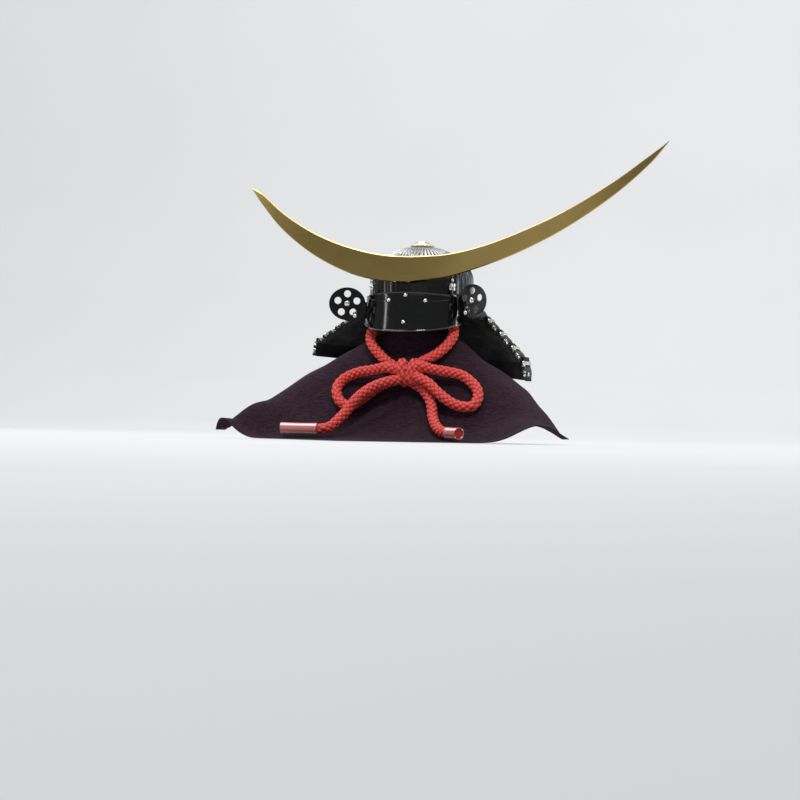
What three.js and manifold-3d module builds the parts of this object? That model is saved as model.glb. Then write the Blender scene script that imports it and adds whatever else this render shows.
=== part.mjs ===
// Samurai helmet on a cloth-covered stand, in millimetres, +Z up.
// The origin is the centre of the stand's base. +X is the viewer's right and the helmet faces -Y.
// Angles round the helmet are degrees from the front (-Y), positive towards +X.
import * as THREE from "three";
import { mergeVertices } from "three/addons/utils/BufferGeometryUtils.js";
import Module from "manifold-3d";

const wasm = await Module();
wasm.setup();

// Driving sizes: fits
const fitGap = 0.3; // between pieces that touch
const lacquerPlate = 1.6; // lacquered metal plate

// Driving sizes: bowl and band
const seatHeight = 152; // the bowl's lower edge above the table
const bowlRadius = 53.8;
const bowlWall = 12; // upright stretch below the dome
const domeRise = 39.2;
const bowlPlates = 62;
const ribHeight = 0.9;
const bowlShell = 1.8;
const crownHoleRadius = 8;
const crownRadius = 12.4;
const crownHeight = 4.3;
const crownSeat = 0.45; // room over the ribs under the crown fitting
const bandDepth = 12;
const bandFlare = 1.3;

// Driving sizes: visor
const visorHalfAngle = 59;
const visorTop = -1; // below the bowl's edge, at the front
const visorTopDip = 4; // how much lower the top edge is at the temples
const visorDepth = 39;
const visorCornerRise = 9;
const visorFlare = 8.6;
const rimRadius = 1.1;

// Driving sizes: neck guard
const lameCount = 5;
const lameLength = 21;
const lameLap = 3.6;
const lameSlope = 49; // degrees below level
const lastLameLength = 22;
const lastLameSlope = 82;
const lameGap = 0.7;
const lameHang = 9; // top of the first lame below the bowl's edge
const lameSway = 0.019; // each lame leans this much further towards +X
const firstLameFront = 64;
const lameFront = 86;

// Driving sizes: turned-back plates
const turnbackWidth = 38;
const turnbackHeight = 34;
const turnbackReach = 25.5; // its centre, outside the bowl's radius
const turnbackAngle = 58.15; // its centre, from the front
const turnbackDrop = 9;
const turnbackYaw = 26;
const turnbackHoleRadius = 3.6;
const turnbackHoleRing = 10.4;
const tabRivetAt = { x: 0.22, y: 0.37 }; // shares of the plate's width and height

// Driving sizes: crest
const crestWidth = 26.5;
const crestThick = 1.5;
const crestStandoff = 10.2; // its front face, ahead of the bowl's radius
const crestMiddle = 8; // lowest point, right of the centre line
const crestLift = 10.4; // lower edge above the bowl's edge
const shortArm = 185;
const longArm = 254;
const shortArmRise = 73;
const longArmRise = 120.6;
const crestBow = 0.0008; // how fast it curves back, per mm
const crestBevel = 0.9;
const holderWidth = 12;
const holderHeight = 15;

// Driving sizes: stand, cloth and post
const standTopRadius = 34;
const standBaseRadius = 70;
const standHeight = 112;
const clothThick = 1.2;
const clothHalfDiagonal = 215;
const clothForward = 115; // the square's centre, in front of the stand's middle
const clothShoulder = 4; // how far past the stand's top it stays level
const foldEase = 0.3; // share of the reach over which a fold rises or fades
const postRadius = 11;
const postHeadRadius = 26;
const postHeadDepth = 12;
const postRoom = 0.55; // more room under the bowl's faceted dome

// Driving sizes: chin cord
const cordRadius = 5.3;
const cordSides = 8;
const cordStep = 18.5;
const sleeveRadius = 5.9;
const knotHalf = { x: 14, y: 11, z: 13 };
const knotAt = { x: 10.5, y: -72, z: 69 };

const lacquer = { color: 0x0b0b0c, roughness: 0.18, metalness: 0.1 };
const silver = { color: 0xd8d8d2, roughness: 0.25, metalness: 1.0 };
const brass = { color: 0xb9a86a, roughness: 0.28, metalness: 1.0 };
const gold = { color: 0xd9b978, roughness: 0.3, metalness: 1.0 };
const redBraid = { color: 0xd8402f, roughness: 0.85, metalness: 0.0 };
const pinkTube = { color: 0xe9bdb4, roughness: 0.35, metalness: 0.0 };
const purpleCrepe = { color: 0x33202e, roughness: 0.95, metalness: 0.0 };
const plainWood = { color: 0x9a7a52, roughness: 0.7, metalness: 0.0 };

// Crest: shares of each arm's length and rise, and of the width at the middle
const crestRows = [
  { along: 0.0, shortLift: 0.0, longLift: 0.0, shortWidth: 1.0, longWidth: 0.98 },
  { along: 0.15, shortLift: 0.018, longLift: 0.022, shortWidth: 1.01, longWidth: 0.88 },
  { along: 0.3, shortLift: 0.085, longLift: 0.1, shortWidth: 1.02, longWidth: 0.8 },
  { along: 0.45, shortLift: 0.195, longLift: 0.225, shortWidth: 0.96, longWidth: 0.77 },
  { along: 0.62, shortLift: 0.375, longLift: 0.405, shortWidth: 0.84, longWidth: 0.68 },
  { along: 0.8, shortLift: 0.645, longLift: 0.655, shortWidth: 0.66, longWidth: 0.54 },
  { along: 0.93, shortLift: 0.905, longLift: 0.875, shortWidth: 0.42, longWidth: 0.34 },
  { along: 1.0, shortLift: 1.0, longLift: 1.0, shortWidth: 0.08, longWidth: 0.04 },
];

// Crown fitting, from its foot up: radius and height as shares of crownRadius and crownHeight
const crownRows = [[1, -0.03], [0.8, 0.3], [0.72, 0.52], [0.6, 0.6], [0.56, 0.86], [0.42, 1]];

// Cloth: how far out it would meet the table and how steeply it first falls, by angle from the front.
// reach is a share of clothHalfDiagonal.
const clothRows = [
  { angle: 0, reach: 0.7, fall: 3.0 },
  { angle: 25, reach: 0.72, fall: 2.4 },
  { angle: 45, reach: 0.82, fall: 1.4 },
  { angle: 62, reach: 0.94, fall: 0.85 },
  { angle: 90, reach: 0.82, fall: 1.0 },
  { angle: 135, reach: 0.56, fall: 1.2 },
  { angle: 180, reach: 0.44, fall: 1.3 },
];

// Folds: ridges that run outwards between two shares of the reach; lift is a share of standHeight
const foldRows = [
  { angle: -76, width: 7, lift: 0.04, from: 0.2, to: 0.9 },
  { angle: -56, width: 6, lift: 0.17, from: 0.62, to: 1.4 },
  { angle: 4, width: 6, lift: 0.045, from: 0.15, to: 0.75 },
  { angle: 16, width: 5, lift: 0.035, from: 0.2, to: 0.9 },
  { angle: 53, width: 8, lift: 0.16, from: 0.72, to: 1.4 },
  { angle: 76, width: 7, lift: 0.04, from: 0.2, to: 0.9 },
  { angle: 104, width: 30, lift: -0.085, from: 0.0, to: 0.95 },
];

// Chin cord: hand-chosen points on each stretch, x y z
const cordRoutes = {
  chin_cord_neck: [
    [2, -67, 73], [-14, -60, 79.5], [-26, -53, 87.5], [-37.5, -46, 98], [-43.5, -35, 108],
    [-43.5, -22, 120], [-44, -8, 127], [-42, 8, 129], [-37, 23, 130], [-26, 35, 130],
    [-10, 42.5, 130], [10, 42.5, 130], [23, 34, 131], [30, 22, 131], [34, 7, 131],
    [37, -9, 128], [42, -22, 119], [45, -32, 110], [43, -42.5, 101], [35, -51.5, 91],
    [14, -64, 77.5],
  ],
  chin_cord_loop_left: [
    [2, -77, 72.5], [-12, -76, 75], [-29, -69.5, 72.5], [-46, -67, 69.5], [-59.5, -69, 63],
    [-64.5, -75.5, 54.5], [-63, -81, 46.5], [-57, -85.5, 38.8], [-47, -86.5, 35], [-36, -79.5, 43],
    [-24, -72.5, 53.5], [-8, -70, 62], [0, -70.5, 65],
  ],
  chin_cord_loop_right: [
    [10, -76, 72], [22, -75, 76.5], [35, -70, 74], [51, -67.5, 71.5], [65, -68, 68.5],
    [76, -71, 62], [84.3, -76.5, 54.3], [87.5, -84, 44.8], [84, -91, 37.2], [74, -92, 36.5],
    [60, -89, 41], [46, -85.5, 50.5], [33, -81, 60.5], [19, -78, 66],
  ],
  chin_cord_tail_left: [
    [4, -79, 63], [-8, -83.5, 60.5], [-20, -87.5, 56], [-28.5, -93.5, 50], [-36.5, -99.5, 41.8],
    [-43, -103.5, 31.8], [-49.5, -111, 22], [-56.5, -118, 14], [-62.5, -122.7, 11.6], [-67.5, -123.6, 11.2],
  ],
  chin_cord_tail_right: [
    [14, -70, 60], [25, -73, 54], [34, -78.5, 45.5], [40, -86.5, 35.5], [44.5, -96.5, 25.5],
    [52, -109, 16.4], [61, -119, 11.2], [70, -127, 10],
  ],
};
const sleeveRoutes = {
  cord_sleeve_left: [[-68.6, -123.8, 11.1], [-106, -126.5, 11.2]],
  cord_sleeve_right: [[70.5, -127.5, 9.7], [85.5, -141.2, 9.4]],
};

// Small helpers
const rad = (degrees) => (degrees * Math.PI) / 180;

const around = (radius, angle, z) =>
  new THREE.Vector3(radius * Math.sin(rad(angle)), -radius * Math.cos(rad(angle)), z);

function smoothStep(at, start, end) {
  const s = Math.min(1, Math.max(0, (at - start) / (end - start)));
  return s * s * (3 - 2 * s);
}

function signedVolume(geometry) {
  const p = geometry.getAttribute("position");
  const ix = geometry.index.array;
  const [a, b, c] = [new THREE.Vector3(), new THREE.Vector3(), new THREE.Vector3()];
  let volume = 0;
  for (let i = 0; i < ix.length; i += 3) {
    a.fromBufferAttribute(p, ix[i]);
    b.fromBufferAttribute(p, ix[i + 1]);
    c.fromBufferAttribute(p, ix[i + 2]);
    volume += a.dot(b.cross(c)) / 6;
  }
  return volume;
}

// One closed body with merged corners and its faces pointing out
function closedBody(geometry) {
  geometry.deleteAttribute("normal");
  geometry.deleteAttribute("uv");
  const merged = mergeVertices(geometry, 1e-4);
  const kept = [];
  const ix = merged.index.array;
  for (let i = 0; i < ix.length; i += 3) {
    const [a, b, c] = [ix[i], ix[i + 1], ix[i + 2]];
    if (a !== b && b !== c && c !== a) kept.push(a, b, c);
  }
  merged.setIndex(kept);
  if (signedVolume(merged) < 0) {
    for (let i = 0; i < kept.length; i += 3) [kept[i], kept[i + 1]] = [kept[i + 1], kept[i]];
    merged.setIndex(kept);
  }
  return merged;
}

// A solid through rings of equal point count, capped at both ends
function throughRings(rings) {
  const count = rings[0].length;
  const points = rings.flat();
  const index = [];
  for (let r = 0; r < rings.length - 1; r += 1) {
    for (let k = 0; k < count; k += 1) {
      const next = (k + 1) % count;
      const [a, b] = [r * count + k, r * count + next];
      index.push(a, b, b + count, a, b + count, a + count);
    }
  }
  const last = (rings.length - 1) * count;
  for (let k = 1; k < count - 1; k += 1) {
    index.push(0, k + 1, k, last, last + k, last + k + 1);
  }
  const geometry = new THREE.BufferGeometry().setFromPoints(points);
  geometry.setIndex(index);
  return closedBody(geometry);
}

// A sheet of given thickness between two grids; rings close round when wrapped
function betweenSheets(columns, outerRows, innerRows, outer, inner, wrapped) {
  const points = [];
  const index = [];
  const width = columns + (wrapped ? 0 : 1);
  const addGrid = (rows, at) => {
    const start = points.length;
    for (let j = 0; j <= rows; j += 1) {
      for (let i = 0; i < width; i += 1) points.push(at(i / columns, j / rows));
    }
    return start;
  };
  const quad = (a, b, c, d) => index.push(a, b, c, a, c, d);
  const outerStart = addGrid(outerRows, outer);
  const innerStart = addGrid(innerRows, inner);
  const out = (j, i) => outerStart + j * width + (wrapped ? i % columns : i);
  const back = (j, i) => innerStart + j * width + (wrapped ? i % columns : i);
  for (let i = 0; i < columns; i += 1) {
    for (let j = 0; j < outerRows; j += 1) {
      quad(out(j, i), out(j, i + 1), out(j + 1, i + 1), out(j + 1, i));
    }
    for (let j = 0; j < innerRows; j += 1) {
      quad(back(j, i + 1), back(j, i), back(j + 1, i), back(j + 1, i + 1));
    }
    quad(out(0, i + 1), out(0, i), back(0, i), back(0, i + 1));
    quad(out(outerRows, i), out(outerRows, i + 1), back(innerRows, i + 1), back(innerRows, i));
  }
  if (!wrapped) {
    for (let j = 0; j < outerRows; j += 1) {
      quad(out(j, 0), out(j + 1, 0), back(j + 1, 0), back(j, 0));
      quad(out(j + 1, columns), out(j, columns), back(j, columns), back(j + 1, columns));
    }
  }
  const geometry = new THREE.BufferGeometry().setFromPoints(points);
  geometry.setIndex(index.reverse());
  return closedBody(geometry);
}

function turned(profile, segments) {
  const outline = profile.map(([r, z]) => new THREE.Vector2(r, z));
  const geometry = new THREE.LatheGeometry(outline, segments);
  geometry.rotateX(Math.PI / 2);
  return closedBody(geometry);
}

// A low round-headed rivet standing on z = 0
function rivetHead(radius, height) {
  const rows = [[0, 0], [1, 0], [0.86, 0.6], [0.5, 0.92], [0, 1]];
  return turned(rows.map(([spread, rise]) => [radius * spread, height * rise]), 8);
}

// A four-leaved plate with a round boss, standing on z = 0
function fourLeafRivet(radius, height) {
  const rows = [[1, 0], [1, 0.25], [0.5, 0.35], [0.42, 0.8], [0.2, 1]];
  const leafCorners = 12;
  const rings = rows.map(([spread, rise]) => {
    const lobe = spread > 0.6 ? 0.24 : 0;
    return Array.from({ length: leafCorners }, (_, k) => {
      const turn = (k / leafCorners) * 2 * Math.PI;
      const r = radius * spread * (1 + lobe * Math.cos(4 * turn));
      return new THREE.Vector3(r * Math.cos(turn), r * Math.sin(turn), rise * height);
    });
  });
  return throughRings(rings);
}

function asManifold(geometry) {
  const positions = geometry.getAttribute("position").array;
  return new wasm.Manifold(new wasm.Mesh({
    numProp: 3,
    vertProperties: Float32Array.from(positions),
    triVerts: Uint32Array.from(geometry.index.array),
  }));
}

function fromManifold(solid) {
  const mesh = solid.getMesh();
  const geometry = new THREE.BufferGeometry();
  const positions = Float32Array.from(mesh.vertProperties);
  geometry.setAttribute("position", new THREE.BufferAttribute(positions, 3));
  geometry.setIndex(Array.from(mesh.triVerts));
  return closedBody(geometry);
}

const model = new THREE.Group();
const helmet = new THREE.Group(); // its z = 0 is the bowl's lower edge
helmet.position.z = seatHeight;
model.add(helmet);

function addPiece(group, name, geometry, finish) {
  const mesh = new THREE.Mesh(geometry, new THREE.MeshStandardMaterial(finish));
  mesh.name = name;
  group.add(mesh);
  return mesh;
}

// Stands a piece's +Z along a direction at a point
function seatOn(mesh, point, direction) {
  mesh.position.copy(point);
  mesh.quaternion.setFromUnitVectors(new THREE.Vector3(0, 0, 1), direction.clone().normalize());
}

// Bowl: an upright wall and a dome, ribbed at every plate joint
function bowlAt(angle, row, domeRows, radius, rise) {
  if (row === 0) return around(radius, angle, fitGap);
  const turn = ((row - 1) / domeRows) * Math.acos(crownHoleRadius / radius);
  return around(radius * Math.cos(turn), angle, bowlWall + rise * Math.sin(turn));
}

function makeBowl() {
  const columns = bowlPlates * 2;
  const [outerDome, innerDome] = [5, 4];
  const outer = (u, v) => {
    const onRib = Math.round(u * columns) % 2 === 0;
    const plain = bowlAt(360 * u, Math.round(v * (outerDome + 1)), outerDome, bowlRadius, domeRise);
    const radius = Math.hypot(plain.x, plain.y);
    return around(radius + (onRib ? ribHeight * Math.sqrt(radius / bowlRadius) : 0), 360 * u, plain.z);
  };
  const inner = (u, v) => {
    const row = Math.round(v * (innerDome + 1));
    return bowlAt(360 * u, row, innerDome, bowlRadius - bowlShell, domeRise - bowlShell);
  };
  return betweenSheets(columns, outerDome + 1, innerDome + 1, outer, inner, true);
}
addPiece(helmet, "bowl", makeBowl(), lacquer);

// Crown fitting: stepped rings over the crown hole
const domeHeightAt = (radius, shellRadius, rise) =>
  bowlWall + rise * Math.sqrt(1 - (radius / shellRadius) ** 2);

function makeCrownFitting() {
  const onRibs = (radius) => domeHeightAt(radius, bowlRadius + ribHeight, domeRise) + fitGap + crownSeat;
  const base = onRibs(crownHoleRadius * 0.9);
  const rows = crownRows.map(([radius, height]) => [crownRadius * radius, base + crownHeight * height]);
  const bore = crownHoleRadius * 0.5;
  const under = [[bore, base], [crownHoleRadius, base], [crownRadius, onRibs(crownRadius)]];
  return turned([...under, ...rows, [bore, base + crownHeight * 0.88], [bore, base]], 18);
}
addPiece(helmet, "crown_fitting", makeCrownFitting(), gold);

// Band under the bowl
const bandRadiusAt = (z) => bowlRadius + ribHeight + 0.3 + bandFlare * (-z / bandDepth);
function makeBand() {
  const outer = (u, v) => around(bandRadiusAt(-bandDepth * v), 360 * u, -bandDepth * v);
  const inner = (u, v) => around(bandRadiusAt(-bandDepth * v) - lacquerPlate, 360 * u, -bandDepth * v);
  return betweenSheets(56, 1, 1, outer, inner, true);
}
addPiece(helmet, "bowl_band", makeBand(), lacquer);

// Rivets on the bowl's wall
const bowlRivetAngles = [-52, 52, 128, -128];
bowlRivetAngles.forEach((angle, i) => {
  const wallRadius = bowlRadius + ribHeight + fitGap;
  const rivet = addPiece(helmet, `bowl_rivet_${i + 1}`, fourLeafRivet(3.6, 3), silver);
  seatOn(rivet, around(wallRadius, angle, bowlWall * 0.62), around(1, angle, 0));
  const stud = addPiece(helmet, `bowl_stud_${i + 1}`, rivetHead(1.6, 1.3), silver);
  seatOn(stud, around(wallRadius - 0.1, angle, bowlWall + 2.2), around(1, angle, 0.06));
});

// Visor: hangs from the band and flares forward
const visorBase = bandRadiusAt(-bandDepth) + fitGap + lacquerPlate;
function visorAt(angle, share, inward) {
  const side = angle / visorHalfAngle;
  const top = -visorTop - visorTopDip * side * side;
  const bottom = -visorTop - visorDepth + visorCornerRise * side * side;
  const z = top + share * (bottom - top);
  const flare = visorFlare * Math.cos(rad(angle)) ** 2 * share ** 1.3;
  return around(visorBase + flare - inward, angle, z);
}
function makeVisor() {
  const outer = (u, v) => visorAt((2 * u - 1) * visorHalfAngle, v, 0);
  const inner = (u, v) => visorAt((2 * u - 1) * visorHalfAngle, v, lacquerPlate);
  return betweenSheets(18, 4, 4, outer, inner, false);
}
addPiece(helmet, "visor", makeVisor(), lacquer);

function makeVisorRim() {
  const points = [];
  for (let i = 0; i <= 18; i += 1) {
    const point = visorAt(((i / 18) * 2 - 1) * visorHalfAngle, 1, lacquerPlate / 2);
    point.z -= rimRadius + fitGap;
    points.push(point);
  }
  return tube(points, rimRadius, 6, 18);
}

// A round tube along a smooth route
function tube(points, radius, sides, steps) {
  const section = new THREE.Shape();
  for (let k = 0; k < sides; k += 1) {
    const turn = (k / sides) * 2 * Math.PI;
    if (k === 0) section.moveTo(radius, 0);
    else section.lineTo(radius * Math.cos(turn), radius * Math.sin(turn));
  }
  const route = new THREE.CatmullRomCurve3(points, false, "centripetal");
  const options = { steps, extrudePath: route, bevelEnabled: false };
  return closedBody(new THREE.ExtrudeGeometry(section, options));
}
addPiece(helmet, "visor_rim", makeVisorRim(), lacquer);

const visorRivets = [
  { angle: -17, share: 0.22 },
  { angle: 1, share: 0.09 },
  { angle: 21, share: 0.22 },
  { angle: 1, share: 0.8 },
];
visorRivets.forEach(({ angle, share }, i) => {
  const seat = visorAt(angle, share, -fitGap);
  const above = visorAt(angle, share - 0.05, -fitGap);
  const beside = visorAt(angle + 3, share, -fitGap);
  const outward = above.sub(seat).cross(beside.sub(seat)).negate();
  if (outward.dot(around(1, angle, 0)) < 0) outward.negate();
  seatOn(addPiece(helmet, `visor_rivet_${i + 1}`, rivetHead(2.1, 1.5), silver), seat, outward);
});

// Neck guard: sloping lames that each lap outside the one above
function lameSections() {
  const sections = [];
  let top = new THREE.Vector2(bandRadiusAt(-bandDepth) + fitGap + 0.2, -lameHang);
  for (let k = 0; k < lameCount; k += 1) {
    const isLast = k === lameCount - 1;
    const slope = rad(isLast ? lastLameSlope : lameSlope);
    const down = new THREE.Vector2(Math.cos(slope), -Math.sin(slope));
    const out = new THREE.Vector2(Math.sin(slope), Math.cos(slope));
    sections.push({ top, down, out, length: isLast ? lastLameLength : lameLength });
    const lapped = top.clone().addScaledVector(down, lameLength - lameLap);
    const step = lacquerPlate + lameGap;
    const turnsDown = k === lameCount - 2 ? lameLap * Math.sin(rad(lastLameSlope - lameSlope)) : 0;
    top = lapped.addScaledVector(out, step + turnsDown);
  }
  return sections;
}

function lameAt(section, k, angle, share, outward) {
  const bulge = 0.8 * Math.sin(Math.PI * share);
  const flat = section.top.clone().addScaledVector(section.down, section.length * share);
  flat.addScaledVector(section.out, outward + bulge);
  const point = around(flat.x, angle, flat.y);
  const lamesDown = k + (share * section.length) / (lameLength - lameLap);
  point.z -= point.x * lameSway * lamesDown;
  return point;
}

lameSections().forEach((section, k) => {
  const front = k === 0 ? firstLameFront : lameFront;
  const angleAt = (u) => front + u * (360 - 2 * front);
  const outer = (u, v) => lameAt(section, k, angleAt(u), v, lacquerPlate);
  const inner = (u, v) => lameAt(section, k, angleAt(u), v, 0);
  addPiece(helmet, `neck_lame_${k + 1}`, betweenSheets(25, 2, 2, outer, inner, false), lacquer);
});

// A silver rivet near each front corner of the last lame
[-1, 1].forEach((side) => {
  const k = lameCount - 1;
  const section = lameSections()[k];
  const angle = side * (lameFront + 5);
  const seat = lameAt(section, k, angle, 0.72, lacquerPlate + fitGap);
  const name = side < 0 ? "lame_rivet_left" : "lame_rivet_right";
  seatOn(addPiece(helmet, name, rivetHead(2.2, 1.6), silver), seat, around(1, angle, 0.1));
});

// Turned-back plates: pierced discs at the first lame's front ends
function turnbackPlate() {
  const outline = [];
  for (let i = 0; i < 32; i += 1) {
    const turn = (i / 32) * 360;
    const away = ((turn + 42 + 180) % 360) - 180;
    const grow = 1 + 0.2 * Math.exp(-((away / 26) ** 2));
    const x = (turnbackWidth / 2) * grow * Math.cos(rad(turn));
    outline.push(new THREE.Vector2(x, (turnbackHeight / 2) * grow * Math.sin(rad(turn))));
  }
  const shape = new THREE.Shape(outline);
  for (let i = 0; i < 5; i += 1) {
    const turn = rad(90 + 72 * i);
    const hole = new THREE.Path();
    const [x, y] = [turnbackHoleRing * Math.cos(turn), turnbackHoleRing * Math.sin(turn)];
    hole.absarc(x, y, turnbackHoleRadius, 0, 2 * Math.PI, true);
    shape.holes.push(hole);
  }
  const options = { depth: lacquerPlate, bevelEnabled: false, curveSegments: 5 };
  const geometry = new THREE.ExtrudeGeometry(shape, options);
  geometry.translate(0, 0, -lacquerPlate / 2);
  return closedBody(geometry);
}

// Each side: its plate's local x points at the bowl, y up and z to the front
const turnbackSides = [
  { name: "left", side: -1, lift: -2 },
  { name: "right", side: 1, lift: 2 },
];
turnbackSides.forEach(({ name, side, lift }) => {
  const ear = new THREE.Group();
  const yaw = rad(turnbackYaw);
  const inward = new THREE.Vector3(-side * Math.cos(yaw), Math.sin(yaw), 0);
  const forward = new THREE.Vector3(-side * Math.sin(yaw), -Math.cos(yaw), 0);
  const plate = turnbackPlate();
  if (side > 0) plate.scale(-1, 1, 1);
  const along = inward.clone().multiplyScalar(-side);
  ear.matrixAutoUpdate = false;
  ear.matrix.makeBasis(along, new THREE.Vector3(0, 0, 1), forward);
  const reach = bowlRadius + turnbackReach;
  ear.matrix.setPosition(around(reach, side * turnbackAngle, lift - turnbackDrop));
  helmet.add(ear);
  addPiece(ear, `turnback_${name}`, closedBody(plate), lacquer);
  const face = lacquerPlate / 2 + fitGap;
  const hub = addPiece(ear, `turnback_hub_${name}`, rivetHead(3.4, 2.2), silver);
  hub.position.z = face;
  const rivet = addPiece(ear, `turnback_rivet_${name}`, rivetHead(2.6, 2), silver);
  rivet.position.set(-side * turnbackWidth * tabRivetAt.x, -turnbackHeight * tabRivetAt.y, face);
});

// Crest: one thin crescent plate with bevelled edges, on a plain holder
function crestSection(share, isLong) {
  const reach = isLong ? longArm : shortArm;
  const rise = isLong ? longArmRise : shortArmRise;
  const [lifts, widths] = isLong ? ["longLift", "longWidth"] : ["shortLift", "shortWidth"];
  const width = crestWidth * smoothTable(crestRows, "along", share, widths);
  const x = crestMiddle + (isLong ? 1 : -1) * reach * share;
  const top = crestLift + crestWidth + rise * smoothTable(crestRows, "along", share, lifts);
  const y = -(bowlRadius + crestStandoff) + crestBow * (x - crestMiddle) ** 2;
  const bevel = Math.min(crestBevel, width * 0.3);
  const bottom = top - width;
  return [
    new THREE.Vector3(x, y, bottom + bevel), new THREE.Vector3(x, y, top - bevel),
    new THREE.Vector3(x, y + crestThick, top), new THREE.Vector3(x, y + crestThick, bottom),
  ];
}

// Reads a table column with smooth slopes through its rows
function smoothTable(rows, key, at, column) {
  let i = 0;
  while (i < rows.length - 2 && rows[i + 1][key] < at) i += 1;
  const slopeAt = (n) => {
    const [a, b] = [rows[Math.max(0, n - 1)], rows[Math.min(rows.length - 1, n + 1)]];
    return (b[column] - a[column]) / (b[key] - a[key]);
  };
  const span = rows[i + 1][key] - rows[i][key];
  const s = Math.min(1, Math.max(0, (at - rows[i][key]) / span));
  const [s2, s3] = [s * s, s * s * s];
  const start = (2 * s3 - 3 * s2 + 1) * rows[i][column] + (s3 - 2 * s2 + s) * span * slopeAt(i);
  return start + (3 * s2 - 2 * s3) * rows[i + 1][column] + (s3 - s2) * span * slopeAt(i + 1);
}

function makeCrest() {
  const rings = [];
  const steps = 17;
  for (let i = steps; i > 0; i -= 1) rings.push(crestSection(i / steps, false));
  for (let i = 0; i <= steps; i += 1) rings.push(crestSection(i / steps, true));
  return throughRings(rings);
}
addPiece(helmet, "crescent_crest", makeCrest(), brass);

const holderBack = bowlRadius + ribHeight + fitGap;
const holderFront = bowlRadius + crestStandoff - crestThick - fitGap - crestBow * crestMiddle ** 2;
const holderBox = new THREE.BoxGeometry(holderWidth, holderFront - holderBack, holderHeight);
const holder = addPiece(helmet, "crest_holder", closedBody(holderBox), lacquer);
holder.position.set(0, -(holderFront + holderBack) / 2, crestLift + crestWidth * 0.45);

// Stand, cloth over it and the post that carries the bowl
const standProfile = [[0, 0], [standBaseRadius, 0], [standTopRadius, standHeight], [0, standHeight]];
addPiece(model, "stand", turned(standProfile, 28), plainWood);

const clothTop = standHeight + fitGap + clothThick;
const shoulder = standTopRadius + clothShoulder;

// Height of the cloth's upper face at a distance out and an angle
function clothHeight(radius, angle) {
  const turn = Math.abs(angle);
  const reach = clothHalfDiagonal * smoothTable(clothRows, "angle", turn, "reach");
  const fall = smoothTable(clothRows, "angle", turn, "fall");
  const share = Math.min(1, Math.max(0, (radius - shoulder) / (reach - shoulder)));
  const base = clothThick + (clothTop - clothThick) * (1 - share) ** fall;
  let lift = 0;
  foldRows.forEach((fold) => {
    const away = (angle - fold.angle) / fold.width;
    const risen = smoothStep(share, fold.from, fold.from + foldEase);
    const faded = smoothStep(share, fold.to - foldEase, fold.to);
    lift += fold.lift * standHeight * Math.exp(-away * away) * (risen - faded);
  });
  return base + lift;
}

// Distance along the sheet from the stand's middle to the square's hem
function hemDistance(angle) {
  const [s, c] = [Math.abs(Math.sin(rad(angle))), Math.cos(rad(angle))];
  const ahead = (clothHalfDiagonal + clothForward) / (s + c);
  if (c > 0 && ahead * c >= clothForward) return ahead;
  return (clothHalfDiagonal - clothForward) / (s - c);
}

// Walks down the cloth along one angle, from the stand's shoulder to the hem
function clothWalk(angle, shares) {
  const hem = hemDistance(angle);
  const stride = 0.5;
  let [radius, length, z] = [shoulder, shoulder, clothTop];
  return shares.map((share) => {
    while (length < shoulder + share * (hem - shoulder)) {
      const nextZ = clothHeight(radius + stride, angle);
      length += Math.hypot(stride, nextZ - z);
      radius += stride;
      z = nextZ;
    }
    return around(radius, angle, z);
  });
}

function makeCloth() {
  const rows = 10;
  const sideCorner = (Math.atan2(clothHalfDiagonal, clothForward) * 180) / Math.PI;
  const columns = 44;
  const shares = Array.from({ length: rows + 1 }, (_, j) => (j / rows) ** 1.4);
  const angles = Array.from({ length: columns }, (_, i) => -180 + (360 * i) / columns);
  [-sideCorner, sideCorner].forEach((corner) => {
    const miss = angles.map((angle) => Math.abs(angle - corner));
    angles[miss.indexOf(Math.min(...miss))] = corner;
  });
  const grid = angles.map((angle) => clothWalk(angle, shares));
  const below = (i, j) => {
    const prev = grid[(i + columns - 1) % columns][j];
    const next = grid[(i + 1) % columns][j];
    const up = grid[i][Math.max(0, j - 1)];
    const down = grid[i][Math.min(rows, j + 1)];
    const normal = next.clone().sub(prev).cross(down.clone().sub(up)).normalize();
    if (normal.z > 0) normal.negate();
    const point = grid[i][j].clone().addScaledVector(normal, clothThick);
    point.z = Math.max(0, point.z);
    return point;
  };
  const points = [clothTop, clothTop - clothThick].map((z) => new THREE.Vector3(0, 0, z));
  const upper = (i, j) => 2 + (i % columns) * (rows + 1) + j;
  const lower = (i, j) => upper(i, j) + columns * (rows + 1);
  grid.forEach((column) => points.push(...column));
  grid.forEach((column, i) => column.forEach((_, j) => points.push(below(i, j))));
  const index = [];
  const quad = (a, b, c, d) => index.push(a, b, c, a, c, d);
  for (let i = 0; i < columns; i += 1) {
    index.push(0, upper(i, 0), upper(i + 1, 0), 1, lower(i + 1, 0), lower(i, 0));
    for (let j = 0; j < rows; j += 1) {
      quad(upper(i, j), upper(i, j + 1), upper(i + 1, j + 1), upper(i + 1, j));
      quad(lower(i, j), lower(i + 1, j), lower(i + 1, j + 1), lower(i, j + 1));
    }
    quad(upper(i, rows), lower(i, rows), lower(i + 1, rows), upper(i + 1, rows));
  }
  const geometry = new THREE.BufferGeometry().setFromPoints(points);
  geometry.setIndex(index);
  return closedBody(geometry);
}
addPiece(model, "stand_cloth", makeCloth(), purpleCrepe);

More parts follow.
